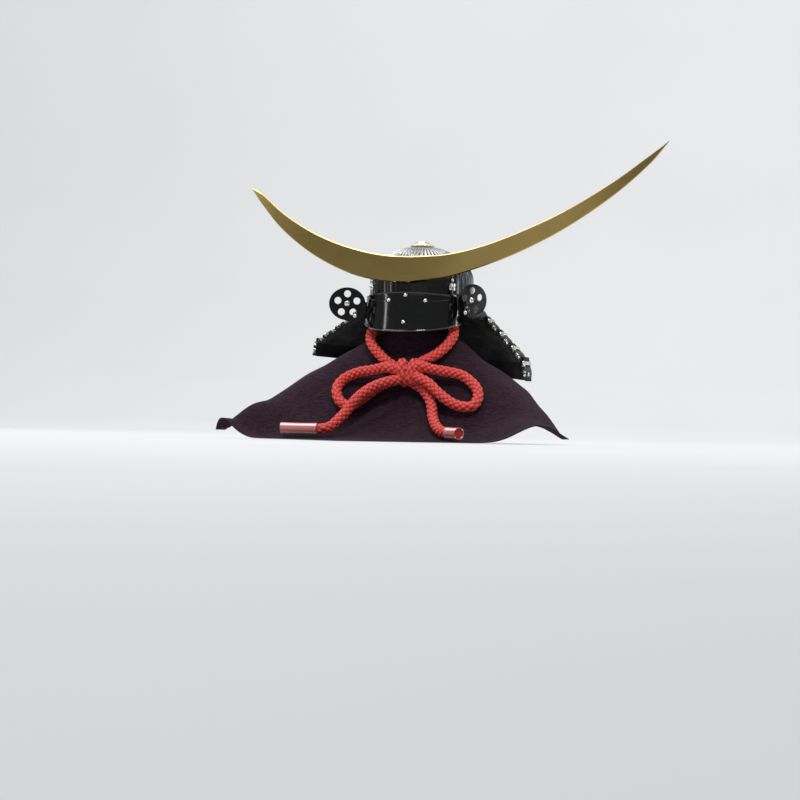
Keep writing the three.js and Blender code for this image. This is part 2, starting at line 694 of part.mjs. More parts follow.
function makePost() {
  const foot = clothTop + fitGap;
  const [innerRadius, innerRise] = [bowlRadius - bowlShell, domeRise - bowlShell];
  const under = (r) => seatHeight + domeHeightAt(r, innerRadius, innerRise) - fitGap - postRoom;
  const [headSide, headTop] = [postHeadRadius * 0.66, crownHoleRadius + 1];
  const flange = postRadius * 1.6;
  return turned([
    [0, foot], [flange, foot], [flange, foot + 3], [postRadius, foot + 6],
    [postRadius, under(postHeadRadius) - postHeadDepth], [postHeadRadius, under(postHeadRadius) - 2],
    [postHeadRadius, under(postHeadRadius)], [headSide, under(headSide) - 0.2],
    [headTop, under(headTop) - 0.2], [0, under(headTop) - 0.2],
  ], 18);
}
addPiece(model, "helmet_post", makePost(), plainWood);

// Chin cord: every stretch is cut where it goes into the knot
function knotSolid(grow) {
  const ball = new THREE.SphereGeometry(1, 12, 8);
  ball.scale(knotHalf.x + grow, knotHalf.y + grow, knotHalf.z + grow);
  ball.translate(knotAt.x, knotAt.y, knotAt.z);
  return closedBody(ball);
}
addPiece(model, "chin_cord_knot", knotSolid(0), redBraid);

const knotRoom = asManifold(knotSolid(fitGap + 0.3));
const asPoints = (route) => route.map(([x, y, z]) => new THREE.Vector3(x, y, z));
Object.entries(cordRoutes).forEach(([name, route]) => {
  const points = asPoints(route);
  const length = new THREE.CatmullRomCurve3(points, false, "centripetal").getLength();
  const steps = Math.max(6, Math.round(length / cordStep));
  const whole = asManifold(tube(points, cordRadius, cordSides, steps));
  const parts = whole.subtract(knotRoom).decompose();
  const largest = parts.reduce((a, b) => (b.volume() > a.volume() ? b : a));
  addPiece(model, name, fromManifold(largest), redBraid);
});
Object.entries(sleeveRoutes).forEach(([name, route]) => {
  addPiece(model, name, tube(asPoints(route), sleeveRadius, 10, 1), pinkTube);
});

export default model;
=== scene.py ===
"""Looks of the samurai helmet on its cloth-covered stand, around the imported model.

Lengths are millimetres in the tables and formulas, and metres once a mesh is made. +Z is up and the helmet faces -Y.
Angles round the helmet are degrees from the front, positive towards +X.
"""

import math

import bmesh
import bpy
import numpy as np
from mathutils import Matrix, Vector


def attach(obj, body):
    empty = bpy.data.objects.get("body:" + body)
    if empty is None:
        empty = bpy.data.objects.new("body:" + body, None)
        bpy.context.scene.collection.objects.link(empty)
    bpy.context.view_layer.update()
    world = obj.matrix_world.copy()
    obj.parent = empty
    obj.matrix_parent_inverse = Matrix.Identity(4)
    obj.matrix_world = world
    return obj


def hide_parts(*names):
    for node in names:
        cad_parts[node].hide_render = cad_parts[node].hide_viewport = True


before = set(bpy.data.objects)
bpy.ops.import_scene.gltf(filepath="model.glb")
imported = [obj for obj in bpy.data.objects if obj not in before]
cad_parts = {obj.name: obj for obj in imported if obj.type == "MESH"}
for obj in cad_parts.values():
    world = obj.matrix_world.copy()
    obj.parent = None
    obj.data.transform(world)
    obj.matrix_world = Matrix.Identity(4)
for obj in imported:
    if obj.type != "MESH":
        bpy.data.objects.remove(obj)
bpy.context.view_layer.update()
MM = 0.001
SIDES = {"left": -1, "right": 1}

# Sizes of the model, as in the CAD source
SEAT = 152.0
FIT_GAP = 0.3
PLATE = 1.6
BOWL = {"radius": 53.8, "wall": 12.0, "rise": 39.2, "plates": 62, "rib": 0.9, "shell": 1.8, "hole": 8.0}
BAND = {"depth": 12.0, "flare": 1.3}
VISOR = {"half": 59.0, "top": -1.0, "dip": 4.0, "depth": 39.0, "corner": 9.0, "flare": 8.6, "rim": 1.1}
LAME = {"count": 5, "length": 21.0, "lap": 3.6, "slope": 49.0, "last_length": 22.0, "last_slope": 82.0}
# The space between lames, how far they hang below the bowl's edge, their lean to one side, and where each begins
LAME_GAP, LAME_HANG, LAME_SWAY = 0.7, 9.0, 0.019
LAME_FRONTS = [64.0, 86.0, 86.0, 86.0, 86.0]
EAR = {"width": 38.0, "height": 34.0, "reach": 25.5, "angle": 58.15, "drop": 9.0, "tilt": 2.0, "yaw": 26.0}
EAR_HOLE, EAR_RING = 3.6, 10.4
CREST = {"width": 26.5, "thick": 1.5, "forward": 64.0, "middle": 8.0, "lift": 10.4, "bow": 0.0008, "bevel": 0.9}
ARMS = {"short": (185.0, 73.0), "long": (254.0, 120.6)}
CREST_ROWS = {
    "along": [0.0, 0.15, 0.3, 0.45, 0.62, 0.8, 0.93, 1.0],
    "short_lift": [0.0, 0.018, 0.085, 0.195, 0.375, 0.645, 0.905, 1.0],
    "long_lift": [0.0, 0.022, 0.1, 0.225, 0.405, 0.655, 0.875, 1.0],
    "short": [1.0, 1.01, 1.02, 0.96, 0.84, 0.66, 0.42, 0.08],
    "long": [0.98, 0.88, 0.8, 0.77, 0.68, 0.54, 0.34, 0.04],
}
STAND_TOP, STAND_HEIGHT = 34.0, 112.0
CLOTH_THICK, CLOTH_HALF, CLOTH_FORWARD = 1.2, 215.0, 115.0
SHOULDER = STAND_TOP + 4
CLOTH_TOP = STAND_HEIGHT + FIT_GAP + CLOTH_THICK
CLOTH_ROWS = {
    "angle": [0, 25, 45, 62, 90, 135, 180],
    "reach": [0.70, 0.72, 0.82, 0.94, 0.82, 0.56, 0.44],
    "fall": [3.0, 2.4, 1.4, 0.85, 1.0, 1.2, 1.3],
}
# Each fold's angle and width, its lift as a share of the stand's height, and where on the slope it starts and ends
FOLDS = [
    (-76, 7, 0.04, 0.2, 0.9),
    (-56, 6, 0.17, 0.62, 1.4),
    (4, 6, 0.045, 0.15, 0.75),
    (16, 5, 0.035, 0.2, 0.9),
    (53, 8, 0.16, 0.72, 1.4),
    (76, 7, 0.04, 0.2, 0.9),
    (104, 30, -0.085, 0.0, 0.95),
]
CORD_RADIUS, SLEEVE_RADIUS = 5.3, 5.9
KNOT_AT = (10.5, -72.0, 69.0)
CORDS = {
    "chin_cord_neck": [
        (2, -67, 73), (-14, -60, 79.5), (-26, -53, 87.5), (-37.5, -46, 98), (-43.5, -35, 108),
        (-43.5, -22, 120), (-44, -8, 127), (-42, 8, 129), (-37, 23, 130), (-26, 35, 130),
        (-10, 42.5, 130), (10, 42.5, 130), (23, 34, 131), (30, 22, 131), (34, 7, 131),
        (37, -9, 128), (42, -22, 119), (45, -32, 110), (43, -42.5, 101), (35, -51.5, 91),
        (14, -64, 77.5),
    ],
    "chin_cord_loop_left": [
        (2, -77, 72.5), (-12, -76, 75), (-29, -69.5, 72.5), (-46, -67, 69.5), (-59.5, -69, 63),
        (-64.5, -75.5, 54.5), (-63, -81, 46.5), (-57, -85.5, 38.8), (-47, -86.5, 35), (-36, -79.5, 43),
        (-24, -72.5, 53.5), (-8, -70, 62), (0, -70.5, 65),
    ],
    "chin_cord_loop_right": [
        (10, -76, 72), (22, -75, 76.5), (35, -70, 74), (51, -67.5, 71.5), (65, -68, 68.5),
        (76, -71, 62), (84.3, -76.5, 54.3), (87.5, -84, 44.8), (84, -91, 37.2), (74, -92, 36.5),
        (60, -89, 41), (46, -85.5, 50.5), (33, -81, 60.5), (19, -78, 66),
    ],
    "chin_cord_tail_left": [
        (4, -79, 63), (-8, -83.5, 60.5), (-20, -87.5, 56), (-28.5, -93.5, 50), (-36.5, -99.5, 41.8),
        (-43, -103.5, 31.8), (-49.5, -111, 22), (-56.5, -118, 14), (-62.5, -122.7, 11.6), (-67.5, -123.6, 11.2),
    ],
    "chin_cord_tail_right": [
        (14, -70, 60), (25, -73, 54), (34, -78.5, 45.5), (40, -86.5, 35.5), (44.5, -96.5, 25.5),
        (52, -109, 16.4), (61, -119, 11.2), (70, -127, 10),
    ],
}
# Each sleeve's two ends, and how many of its rings the cord stops short by
SLEEVES = {
    "left": ([(-68.6, -123.8, 11.1), (-106, -126.5, 11.2)], 6),
    "right": ([(70.5, -127.5, 9.7), (85.5, -141.2, 9.4)], 1),
}

# Camera
CAMERA = {
    "lens": 128.5, "sensor": 36.0, "clip_end": 60.0, "at": (888.52, -2835.67, 15.0),
    "azimuth": 17.79, "elevation": -0.537, "roll": 1.201,
}


def add_object(name, data):
    obj = bpy.data.objects.new(name, data)
    bpy.context.scene.collection.objects.link(obj)
    return obj


def make_camera():
    data = bpy.data.cameras.new("camera")
    data.lens, data.sensor_width, data.clip_end = CAMERA["lens"], CAMERA["sensor"], CAMERA["clip_end"]
    az, el, roll = (math.radians(CAMERA[key]) for key in ("azimuth", "elevation", "roll"))
    back = Vector((math.sin(az) * math.cos(el), -math.cos(az) * math.cos(el), math.sin(el)))
    right = Vector((math.cos(az), math.sin(az), 0))
    up = back.cross(right)
    turned_right = right * math.cos(roll) + up * math.sin(roll)
    turned_up = up * math.cos(roll) - right * math.sin(roll)
    camera = add_object("camera", data)
    axes = Matrix((turned_right, turned_up, back)).transposed().to_4x4()
    camera.matrix_world = Matrix.Translation(Vector(CAMERA["at"]) * MM) @ axes
    bpy.context.scene.camera = camera
    bpy.context.scene.view_settings.view_transform = "Standard"


make_camera()


# Materials
class Nodes:
    """A material's node tree, with its shader's inputs set directly or linked."""

    def __init__(self, name, **inputs):
        self.material = bpy.data.materials.new(name)
        self.material.use_nodes = True
        self.tree = self.material.node_tree
        self.shader = self.tree.nodes["Principled BSDF"]
        self.place = self.add("ShaderNodeTexCoord").outputs["Object"]
        for key, value in inputs.items():
            self.set(key.replace("_", " "), value)

    def feed(self, socket, value):
        if isinstance(value, bpy.types.NodeSocket):
            self.tree.links.new(value, socket)
        else:
            socket.default_value = value

    def add(self, kind, **inputs):
        node = self.tree.nodes.new(kind)
        for key, value in inputs.items():
            self.feed(node.inputs[key.replace("_", " ")], value)
        return node

    def set(self, key, value):
        self.feed(self.shader.inputs[key], value)

    def stretched(self, scale):
        return self.add("ShaderNodeMapping", Vector=self.place, Scale=scale).outputs["Vector"]

    def noise(self, scale, detail=3.0, rough=0.55, vector=None):
        inputs = {"Vector": vector or self.place, "Scale": scale, "Detail": detail, "Roughness": rough}
        return self.add("ShaderNodeTexNoise", **inputs).outputs["Fac"]

    def wave(self, scale, distortion, vector=None):
        inputs = {"Vector": vector or self.place, "Scale": scale, "Distortion": distortion}
        return self.add("ShaderNodeTexWave", **inputs).outputs["Fac"]

    def attribute(self, name):
        node = self.tree.nodes.new("ShaderNodeAttribute")
        node.attribute_name = name
        return node.outputs["Fac"]

    def ramp(self, source, *stops):
        node = self.add("ShaderNodeValToRGB", Fac=source)
        elements = node.color_ramp.elements
        while len(elements) < len(stops):
            elements.new(0.5)
        for element, (at, colour) in zip(elements, stops):
            element.position = at
            element.color = (*colour, 1)
        return node.outputs["Color"]

    def between(self, source, low, high, start=0.0, end=1.0):
        node = self.add("ShaderNodeMapRange", Value=source, From_Min=start, From_Max=end, To_Min=low, To_Max=high)
        return node.outputs["Result"]

    def product(self, first, second):
        node = self.tree.nodes.new("ShaderNodeMath")
        node.operation = "MULTIPLY"
        self.feed(node.inputs[0], first)
        self.feed(node.inputs[1], second)
        return node.outputs[0]

    def colour_mix(self, share, first, second):
        node = self.tree.nodes.new("ShaderNodeMix")
        node.data_type = "RGBA"
        factor = next(s for s in node.inputs if s.type == "VALUE")
        colours = [s for s in node.inputs if s.type == "RGBA"]
        for socket, value in zip((factor, *colours), (share, first, second)):
            self.feed(socket, value)
        return next(s for s in node.outputs if s.type == "RGBA")

    def bump(self, height, distance, strength=1.0, normal=None):
        node = self.add("ShaderNodeBump", Height=height, Distance=distance * MM, Strength=strength)
        if normal is not None:
            self.feed(node.inputs["Normal"], normal)
        self.set("Normal", node.outputs["Normal"])
        return node.outputs["Normal"]


# Colours, darkest first, and the middle part of a noise's range, where nearly all of it lies
NOISE_LOW, NOISE_HIGH = 0.3, 0.7
BLACKS = [(0.0012, 0.0013, 0.0015), (0.004, 0.0042, 0.0045)]
# Silver of the painted highlight on the bowl's rib crests
RIB_HIGHLIGHT_SILVER = (0.74, 0.75, 0.74, 1)
# Braid reds, from painted shade in the gaps to painted highlight on the stitch crowns
SHADED_BRAID_REDS = [(0.11, 0.002, 0.003), (0.46, 0.017, 0.014), (0.8, 0.072, 0.054)]
# Sleeve pinks, ending in white for the painted highlight lines
SLEEVE_PINKS_AND_GLINT = [(0.88, 0.3, 0.28), (0.94, 0.55, 0.52), (1.0, 0.95, 0.93)]
# Cloth purples, from painted shade in the crinkles' hollows to their tops
CREASE_SHADED_PURPLES = [(0.006, 0.0022, 0.0045), (0.039, 0.0145, 0.027)]
WOOD_BROWNS = [(0.24, 0.14, 0.07), (0.32, 0.2, 0.105)]
LACING_BLUES = [(0.004, 0.009, 0.012), (0.014, 0.032, 0.038)]
FLOOR_GREYS = [(0.3, 0.305, 0.31), (0.32, 0.325, 0.33)]


def lacquer(name, roughness, gloss=0.45, coat=0.3, painted_rib_highlight=False):
    """Deep black lacquer with a thin clear coat, faint dust and soft wear, and where asked a painted highlight of
    silver along the rib crests.
    """
    n = Nodes(name, Specular_IOR_Level=gloss, Coat_Weight=coat, Coat_Roughness=0.04)
    n.set("Roughness", n.between(n.noise(70, 5), roughness * 0.7, roughness * 1.7, NOISE_LOW, NOISE_HIGH))
    dark = n.ramp(n.noise(160, 4), (0.35, BLACKS[0]), (0.75, BLACKS[1]))
    # Painted highlight: silver mixed in uneven patches onto the rib crests, for the glint of overhead light on black
    # lacquer
    if painted_rib_highlight:
        patchy_highlight = n.between(n.noise(420, 4), 0.55, 1.0, NOISE_LOW, 0.6)
        share = n.product(n.attribute("crest"), patchy_highlight)
        n.set("Base Color", n.colour_mix(share, dark, RIB_HIGHLIGHT_SILVER))
        n.set("Metallic", share)
    else:
        n.set("Base Color", dark)
    n.bump(n.noise(90, 2), 0.01, 0.2)
    return n.material


def metal(name, low, high, roughness, brushed=(1, 1, 1), grain=300, uneven=(0.75, 1.35), relief=0.02):
    """Polished metal with faint brushing, a little tarnish and uneven gloss."""
    n = Nodes(name, Metallic=1.0)
    n.set("Base Color", n.ramp(n.noise(45, 5), (NOISE_LOW, low), (NOISE_HIGH, high)))
    brush = n.noise(grain, 4, vector=n.stretched(brushed))
    n.set("Roughness", n.between(brush, roughness * uneven[0], roughness * uneven[1], NOISE_LOW, NOISE_HIGH))
    if relief:
        n.bump(brush, relief, 0.25)
    return n.material


def braid_material():
    """Twisted silk stitches, painted dark red in the gaps between them as shade and bright on their crowns as
    highlight.
    """
    n = Nodes("red_braid", Roughness=0.62, Sheen_Weight=0.35, Sheen_Roughness=0.4, Subsurface_Weight=0.06)
    n.set("Sheen Tint", (1.0, 0.55, 0.45, 1))
    n.set("Subsurface Radius", (0.004, 0.0012, 0.0008))
    # Painted shade and highlight: the colour follows the stitches' height, dark in the gaps and bright on the crowns
    base = n.ramp(n.attribute("lift"), *zip((0.0, 0.38, 0.85), SHADED_BRAID_REDS))
    uneven = n.between(n.noise(260, 3), 0.8, 1.12, NOISE_LOW, NOISE_HIGH)
    n.set("Base Color", n.add("ShaderNodeHueSaturation", Color=base, Value=uneven).outputs["Color"])
    n.bump(n.wave(420.0, 3.5), 0.09, 0.5)
    return n.material


def sleeve_material():
    """Clear shrunk tube over the red braid, with pale lengthwise lines painted in as highlights."""
    n = Nodes("clear_sleeve", Roughness=0.42, IOR=1.22)
    glint_line = n.attribute("glint_line")
    # Painted highlight: the pale lines turn white and let less light through
    n.set("Base Color", n.ramp(glint_line, *zip((0.6, 0.8, 0.93), SLEEVE_PINKS_AND_GLINT)))
    n.set("Transmission Weight", n.between(glint_line, 0.35, 0.05, 0.5, 0.95))
    n.bump(n.noise(150, 3), 0.12, 0.4)
    return n.material


def crepe_material():
    """Crepe: fine uneven crinkles that run across, with a soft bloom, and painted shade that darkens the colour in
    the crinkles' hollows.
    """
    n = Nodes("crepe_cloth", Roughness=0.95, Sheen_Weight=0.05, Sheen_Roughness=0.5, Specular_IOR_Level=0.2)
    n.set("Sheen Tint", (0.75, 0.5, 0.65, 1))
    crinkle = n.noise(980, 4, 0.6, n.stretched((0.16, 0.8, 1.0)))
    wide = n.noise(190, 3, 0.6, n.stretched((0.3, 0.7, 1.0)))
    # Painted shade: the colour follows the crinkles' height, darker in their hollows
    n.set("Base Color", n.ramp(crinkle, *zip((0.36, 0.66), CREASE_SHADED_PURPLES)))
    n.bump(crinkle, 0.8, 1.0, n.bump(wide, 1.2, 0.6))
    return n.material


def wood_material():
    n = Nodes("plain_wood", Roughness=0.6)
    grain = n.wave(90.0, 6.0, n.stretched((1, 1, 0.12)))
    n.set("Base Color", n.ramp(grain, *zip((0.2, 0.8), WOOD_BROWNS)))
    n.bump(grain, 0.1, 0.4)
    return n.material


def lacing_material():
    """Flat dark silk braid."""
    n = Nodes("navy_lacing", Roughness=0.68, Sheen_Weight=0.25, Sheen_Roughness=0.4)
    n.set("Base Color", n.ramp(n.noise(700, 3), *zip((0.35, 0.7), LACING_BLUES)))
    n.bump(n.noise(1400, 2), 0.15, 0.7)
    return n.material


LACQUER = lacquer("black_lacquer", 0.1)
# The bowl's lacquer carries the painted silver highlight on its rib crests
BOWL_LACQUER = lacquer("bowl_lacquer", 0.13, painted_rib_highlight=True)
RIM_LACQUER = lacquer("rim_lacquer", 0.1, gloss=1.0, coat=1.0)
LAME_LACQUER = lacquer("lame_lacquer", 0.38, gloss=0.04, coat=0.0)
GOLD = metal("pale_gold", (0.8, 0.66, 0.44), (0.97, 0.88, 0.68), 0.3)
BRASS = metal(
    "pale_brass", (0.47, 0.335, 0.112), (0.52, 0.38, 0.135), 0.24,
    brushed=(0.03, 1, 1), grain=500, uneven=(0.94, 1.06), relief=0,
)
SILVER = metal("silver_rivet", (0.72, 0.72, 0.7), (0.93, 0.93, 0.9), 0.16)
# Pale silver-gold metal for the scale heads and the pale edge stitches, a painted highlight for the glints of light
# on the lames' black lacquer
PALE_GLINT_METAL = metal("pale_glint_metal", (0.45, 0.45, 0.38), (0.95, 0.93, 0.84), 0.2)
BRAID = braid_material()
SLEEVE = sleeve_material()
CREPE = crepe_material()
WOOD = wood_material()
LACING = lacing_material()


# Mesh helpers
def around(radius, angle, z):
    a = np.radians(angle)
    return np.stack(np.broadcast_arrays(radius * np.sin(a), -radius * np.cos(a), z), axis=-1).astype(float)


def smooth_step(at, start, end):
    s = np.clip((at - start) / (end - start), 0, 1)
    return s * s * (3 - 2 * s)


def smooth_table(rows, key, at, column):
    """Reads a table column with smooth slopes through its rows."""
    x, y = np.array(rows[key], float), np.array(rows[column], float)
    row = np.arange(len(x))
    before, after = np.maximum(row - 1, 0), np.minimum(row + 1, len(x) - 1)
    slope = (y[after] - y[before]) / (x[after] - x[before])
    at = np.asarray(at, float)
    i = np.clip(np.searchsorted(x, at, side="left") - 1, 0, len(x) - 2)
    span = x[i + 1] - x[i]
    s = np.clip((at - x[i]) / span, 0, 1)
    start = (2 * s**3 - 3 * s**2 + 1) * y[i] + (s**3 - 2 * s**2 + s) * span * slope[i]
    return start + (3 * s**2 - 2 * s**3) * y[i + 1] + (s**3 - s**2) * span * slope[i + 1]


def grid_faces(rows, columns, wrap_rows=False, wrap_columns=True, start=0):
    row_steps = np.arange(rows if wrap_rows else rows - 1)
    column_steps = np.arange(columns if wrap_columns else columns - 1)
    j, i = np.meshgrid(row_steps, column_steps, indexing="ij")
    right, down = (i + 1) % columns, (j + 1) % rows
    quads = np.stack([j * columns + i, j * columns + right, down * columns + right, down * columns + i], axis=-1)
    return (quads.reshape(-1, 4) + start).tolist()


def plate_faces(rows, columns):
    """Faces of a plate whose rows run down its front and back up behind it, closed at both ends."""
    faces = grid_faces(rows, columns, wrap_rows=True, wrap_columns=False)
    for column in (0, columns - 1):
        ends = [j * columns + column for j in range(rows)]
        faces += [[ends[j], ends[j + 1], ends[rows - 2 - j], ends[rows - 1 - j]] for j in range(rows // 2 - 1)]
    return faces


def piece(name, points, faces, *finishes, nodes=(), slot=None, sharp=35, attributes=None, face_finish=None):
    """A mesh from points in millimetres, which rides on the model and stands for the named nodes."""
    mesh = bpy.data.meshes.new(name)
    mesh.from_pydata((np.asarray(points, float).reshape(-1, 3) * MM).tolist(), [], faces)
    for key, values in (attributes or {}).items():
        mesh.attributes.new(key, "FLOAT", "POINT").data.foreach_set("value", np.asarray(values, np.float32).ravel())
    for finish in finishes:
        mesh.materials.append(finish)
    if face_finish is not None:
        mesh.polygons.foreach_set("material_index", np.asarray(face_finish, np.int32))
    work = bmesh.new()
    work.from_mesh(mesh)
    bmesh.ops.recalc_face_normals(work, faces=work.faces)
    work.to_mesh(mesh)
    work.free()
    mesh.shade_smooth()
    if sharp:
        mesh.set_sharp_from_angle(angle=math.radians(sharp))
    return settle(add_object(name, mesh), nodes)


def settle(obj, nodes=()):
    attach(obj, "root")
    if nodes:
        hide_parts(*nodes)
    return obj


class Heap:
    """Collects several small grids into one mesh."""

    def __init__(self):
        self.points, self.faces, self.count = [], [], 0

    def add(self, grid, wrap_rows=False, wrap_columns=True, caps=False):
        rows, columns = grid.shape[:2]
        self.points.append(grid.reshape(-1, 3))
        self.faces += grid_faces(rows, columns, wrap_rows, wrap_columns, self.count)
        if caps:
            self.faces.append([self.count + i for i in range(columns)][::-1])
            self.faces.append([self.count + (rows - 1) * columns + i for i in range(columns)])
        self.count += rows * columns

    def piece(self, name, *finishes, **options):
        return piece(name, np.concatenate(self.points), self.faces, *finishes, **options)


def capped(name, grid, *finishes, **options):
    """A piece from one grid of rings, closed at both ends."""
    heap = Heap()
    heap.add(grid, caps=True)
    return heap.piece(name, *finishes, **options)


CURVE_SAMPLES = 40


def catmull_rom(points, step):
    """Points about step apart along the centripetal curve through the given ones."""
    p = np.asarray(points, float)
    p = np.vstack([2 * p[0] - p[1], p, 2 * p[-1] - p[-2]])
    out = []
    for a, b, c, d in zip(p[:-3], p[1:-2], p[2:-1], p[3:]):
        t = np.cumsum([0, *(np.sqrt(np.linalg.norm(v)) for v in (b - a, c - b, d - c))])
        at = np.linspace(t[1], t[2], CURVE_SAMPLES, endpoint=False)[:, None]

        def blend(i, j, first, second):
            return (t[j] - at) / (t[j] - t[i]) * first + (at - t[i]) / (t[j] - t[i]) * second

        first, middle, last = blend(0, 1, a, b), blend(1, 2, b, c), blend(2, 3, c, d)
        out.append(blend(1, 2, blend(0, 2, first, middle), blend(1, 3, middle, last)))
    return respaced(np.vstack([*out, p[-2][None]]), step)


def respaced(line, step):
    far = np.concatenate([[0], np.cumsum(np.linalg.norm(np.diff(line, axis=0), axis=1))])
    at = np.linspace(0, far[-1], max(2, int(round(far[-1] / step)) + 1))
    return np.stack([np.interp(at, far, line[:, k]) for k in range(3)], axis=1)


def side_axes(line, closed=False):
    """Two directions square to the line at each point, carried along without twist."""
    along = np.gradient(line, axis=0)
    if closed:
        along = np.roll(line, -1, axis=0) - np.roll(line, 1, axis=0)
    along /= np.linalg.norm(along, axis=1)[:, None]
    first = np.cross(along[0], (0, 0, 1.0))
    if np.linalg.norm(first) < 0.2:
        first = np.cross(along[0], (0, 1.0, 0))
    sides = []
    for direction in along:
        first = first - direction * first.dot(direction)
        first /= np.linalg.norm(first)
        sides.append(first)
    sides = np.array(sides)
    return sides, np.cross(along, sides)


def tube(line, radius, turn, closed=False):
    """Rings of points round a line, at turns from 0 to 1. The radius may change from point to point."""
    sides, ups = side_axes(line, closed)
    angle = 2 * np.pi * turn
    out = np.cos(angle)[None, :, None] * sides[:, None] + np.sin(angle)[None, :, None] * ups[:, None]
    return line[:, None] + np.broadcast_to(radius, out.shape[:2])[..., None] * out


# Round braid: two sets of strands wind opposite ways and pass over each other in turn
STITCH = {"around": 5, "length": 6.6, "depth": 1.6, "samples": 10, "swell": 0.15}
STRAND = {"round": 0.5, "reach": 0.97, "dip": 0.7}
CORD_STEP = STITCH["length"] / STITCH["samples"]
# The knot: each outer turn's place and lean across, its size, and the lump of crossed cord beneath
KNOT_TURNS = [(-5.4, -1.44), (4.6, 1.08)]
RING = {"deep": 5.4, "high": 9.6, "lift": 1.2, "points": 66}
LUMP = {"half": (12.2, 8.2, 9.6), "shift": (3.4, -0.6, -2.4), "relief": 0.9, "length": 11, "rounds": 2}
KNOT_ROWS, KNOT_COLUMNS, KNOT_POLE = 64, 128, 0.02
# The last entry counts the pale lengthwise lines of painted highlight round the sleeve
TUBE = {"wall": 0.55, "core": 4.9, "step": 1.5, "sides": 40, "squash": 0.05, "waves": 7, "wave": 0.06, "glint_lines": 4}
CORE_SHADE = 0.35


def braid_lift(distance, turn):
    """Height of the braid's surface, 0 in the gaps and 1 on the crowns."""
    wound, advanced = turn * STITCH["around"], distance / STITCH["length"]
    u, v = wound + advanced, wound - advanced
    over = (np.floor(u) + np.floor(v)) % 2 == 0
    a, b = 2 * (u - np.floor(u)) - 1, 2 * (v - np.floor(v)) - 1
    along, across = np.where(over, a, b), np.where(over, b, a)
    bulge = np.clip(1 - across**2, 0, 1) ** STRAND["round"]
    return bulge * np.clip(1 - (STRAND["reach"] * along) ** 4, 0, 1) ** STRAND["dip"]


def braided_grid(line, radius, closed=False):
    turns = STITCH["around"] * STITCH["samples"]
    turn = np.arange(turns) / turns
    step = np.linalg.norm(np.diff(line, axis=0), axis=1).mean()
    lift = braid_lift((np.arange(len(line)) * step)[:, None], turn[None, :])
    return tube(line, radius - STITCH["depth"] * (1 - lift) + STITCH["swell"], turn, closed), lift


def make_cord(name, route):
    line = catmull_rom(route, CORD_STEP)
    grid, lift = braided_grid(line, CORD_RADIUS)
    shown = name.replace("chin_cord", "braid")
    obj = capped(shown, grid, BRAID, nodes=[name], slot="red_braid", sharp=0, attributes={"lift": lift})
    length = float(np.linalg.norm(np.diff(line, axis=0), axis=1).sum())
    return obj, line, length


def make_knot():
    """Two turns of the cord side by side over a lump of crossed cord."""
    heap, lifts = Heap(), []
    x0, y0, z0 = KNOT_AT
    turn = np.linspace(0, 2 * np.pi, RING["points"], endpoint=False)
    for across, lean in KNOT_TURNS:
        ring = np.stack([
            x0 + across + lean * np.sin(turn),
            y0 - RING["deep"] * np.cos(turn),
            z0 + RING["lift"] + RING["high"] * np.sin(turn),
        ], axis=1)
        ring = respaced(np.vstack([ring, ring[:1]]), CORD_STEP)[:-1]
        grid, lift = braided_grid(ring, CORD_RADIUS, closed=True)
        heap.add(grid, wrap_rows=True)
        lifts.append(lift.ravel())
    polar = np.linspace(KNOT_POLE, np.pi - KNOT_POLE, KNOT_ROWS)[:, None]
    turn = (np.arange(KNOT_COLUMNS) / KNOT_COLUMNS)[None, :]
    lift = braid_lift(polar * LUMP["length"], turn * LUMP["rounds"])
    wide, deep, high = (half + LUMP["relief"] * lift for half in LUMP["half"])
    right, back, up = LUMP["shift"]
    lump = np.stack([
        x0 + right + wide * np.cos(polar),
        y0 + back + deep * np.sin(polar) * np.cos(2 * np.pi * turn),
        z0 + up + high * np.sin(polar) * np.sin(2 * np.pi * turn),
    ], axis=-1)
    heap.add(lump, caps=True)
    lifts.append(lift.ravel())
    marks = {"lift": np.concatenate(lifts)}
    return heap.piece("knot_wraps", BRAID, nodes=["chin_cord_knot"], slot="red_braid", sharp=0, attributes=marks)


def make_sleeve(side):
    """An open tube with the end of the cord a little way inside it."""
    ends, inset = SLEEVES[side]
    name = f"cord_sleeve_{side}"
    line = respaced(np.array(ends, float), TUBE["step"])
    turn = np.arange(TUBE["sides"]) / TUBE["sides"]
    squash = 1 - TUBE["squash"] * np.sin(np.linspace(0, 1, len(line))[:, None] * np.pi)
    wave = TUBE["wave"] * np.sin(turn * 2 * np.pi * TUBE["waves"])[None, :]
    outer = tube(line, SLEEVE_RADIUS * squash + wave, turn)
    inner = tube(line, (SLEEVE_RADIUS - TUBE["wall"]) * squash + wave, turn)
    core = tube(line[: max(2, len(line) - inset)], TUBE["core"], turn)
    heap = Heap()
    heap.add(np.concatenate([outer, inner[::-1]]), wrap_rows=True)
    shell_faces = len(heap.faces)
    heap.add(core, caps=True)
    # Painted highlight: pale lines spaced evenly round the tube
    glint_lines = np.tile(0.5 - 0.5 * np.cos(turn * 2 * np.pi * TUBE["glint_lines"]), 2 * len(line))
    marks = np.concatenate([glint_lines, np.full(core.shape[0] * core.shape[1], CORE_SHADE)])
    finish = [0] * shell_faces + [1] * (len(heap.faces) - shell_faces)
    return heap.piece(
        f"{name}_tube", SLEEVE, BRAID, nodes=[name], slot="clear_sleeve",
        attributes={"glint_line": marks, "lift": marks}, face_finish=finish,
    )


def make_cords():
    knot = make_knot()
    sleeves = {side: make_sleeve(side) for side in SLEEVES}
    for name, route in CORDS.items():
        obj, line, length = make_cord(name, route)


# Helmet bowl, band and crown fitting
PLATE_COLUMNS, WALL_ROWS, DOME_ROWS = 8, 4, 30
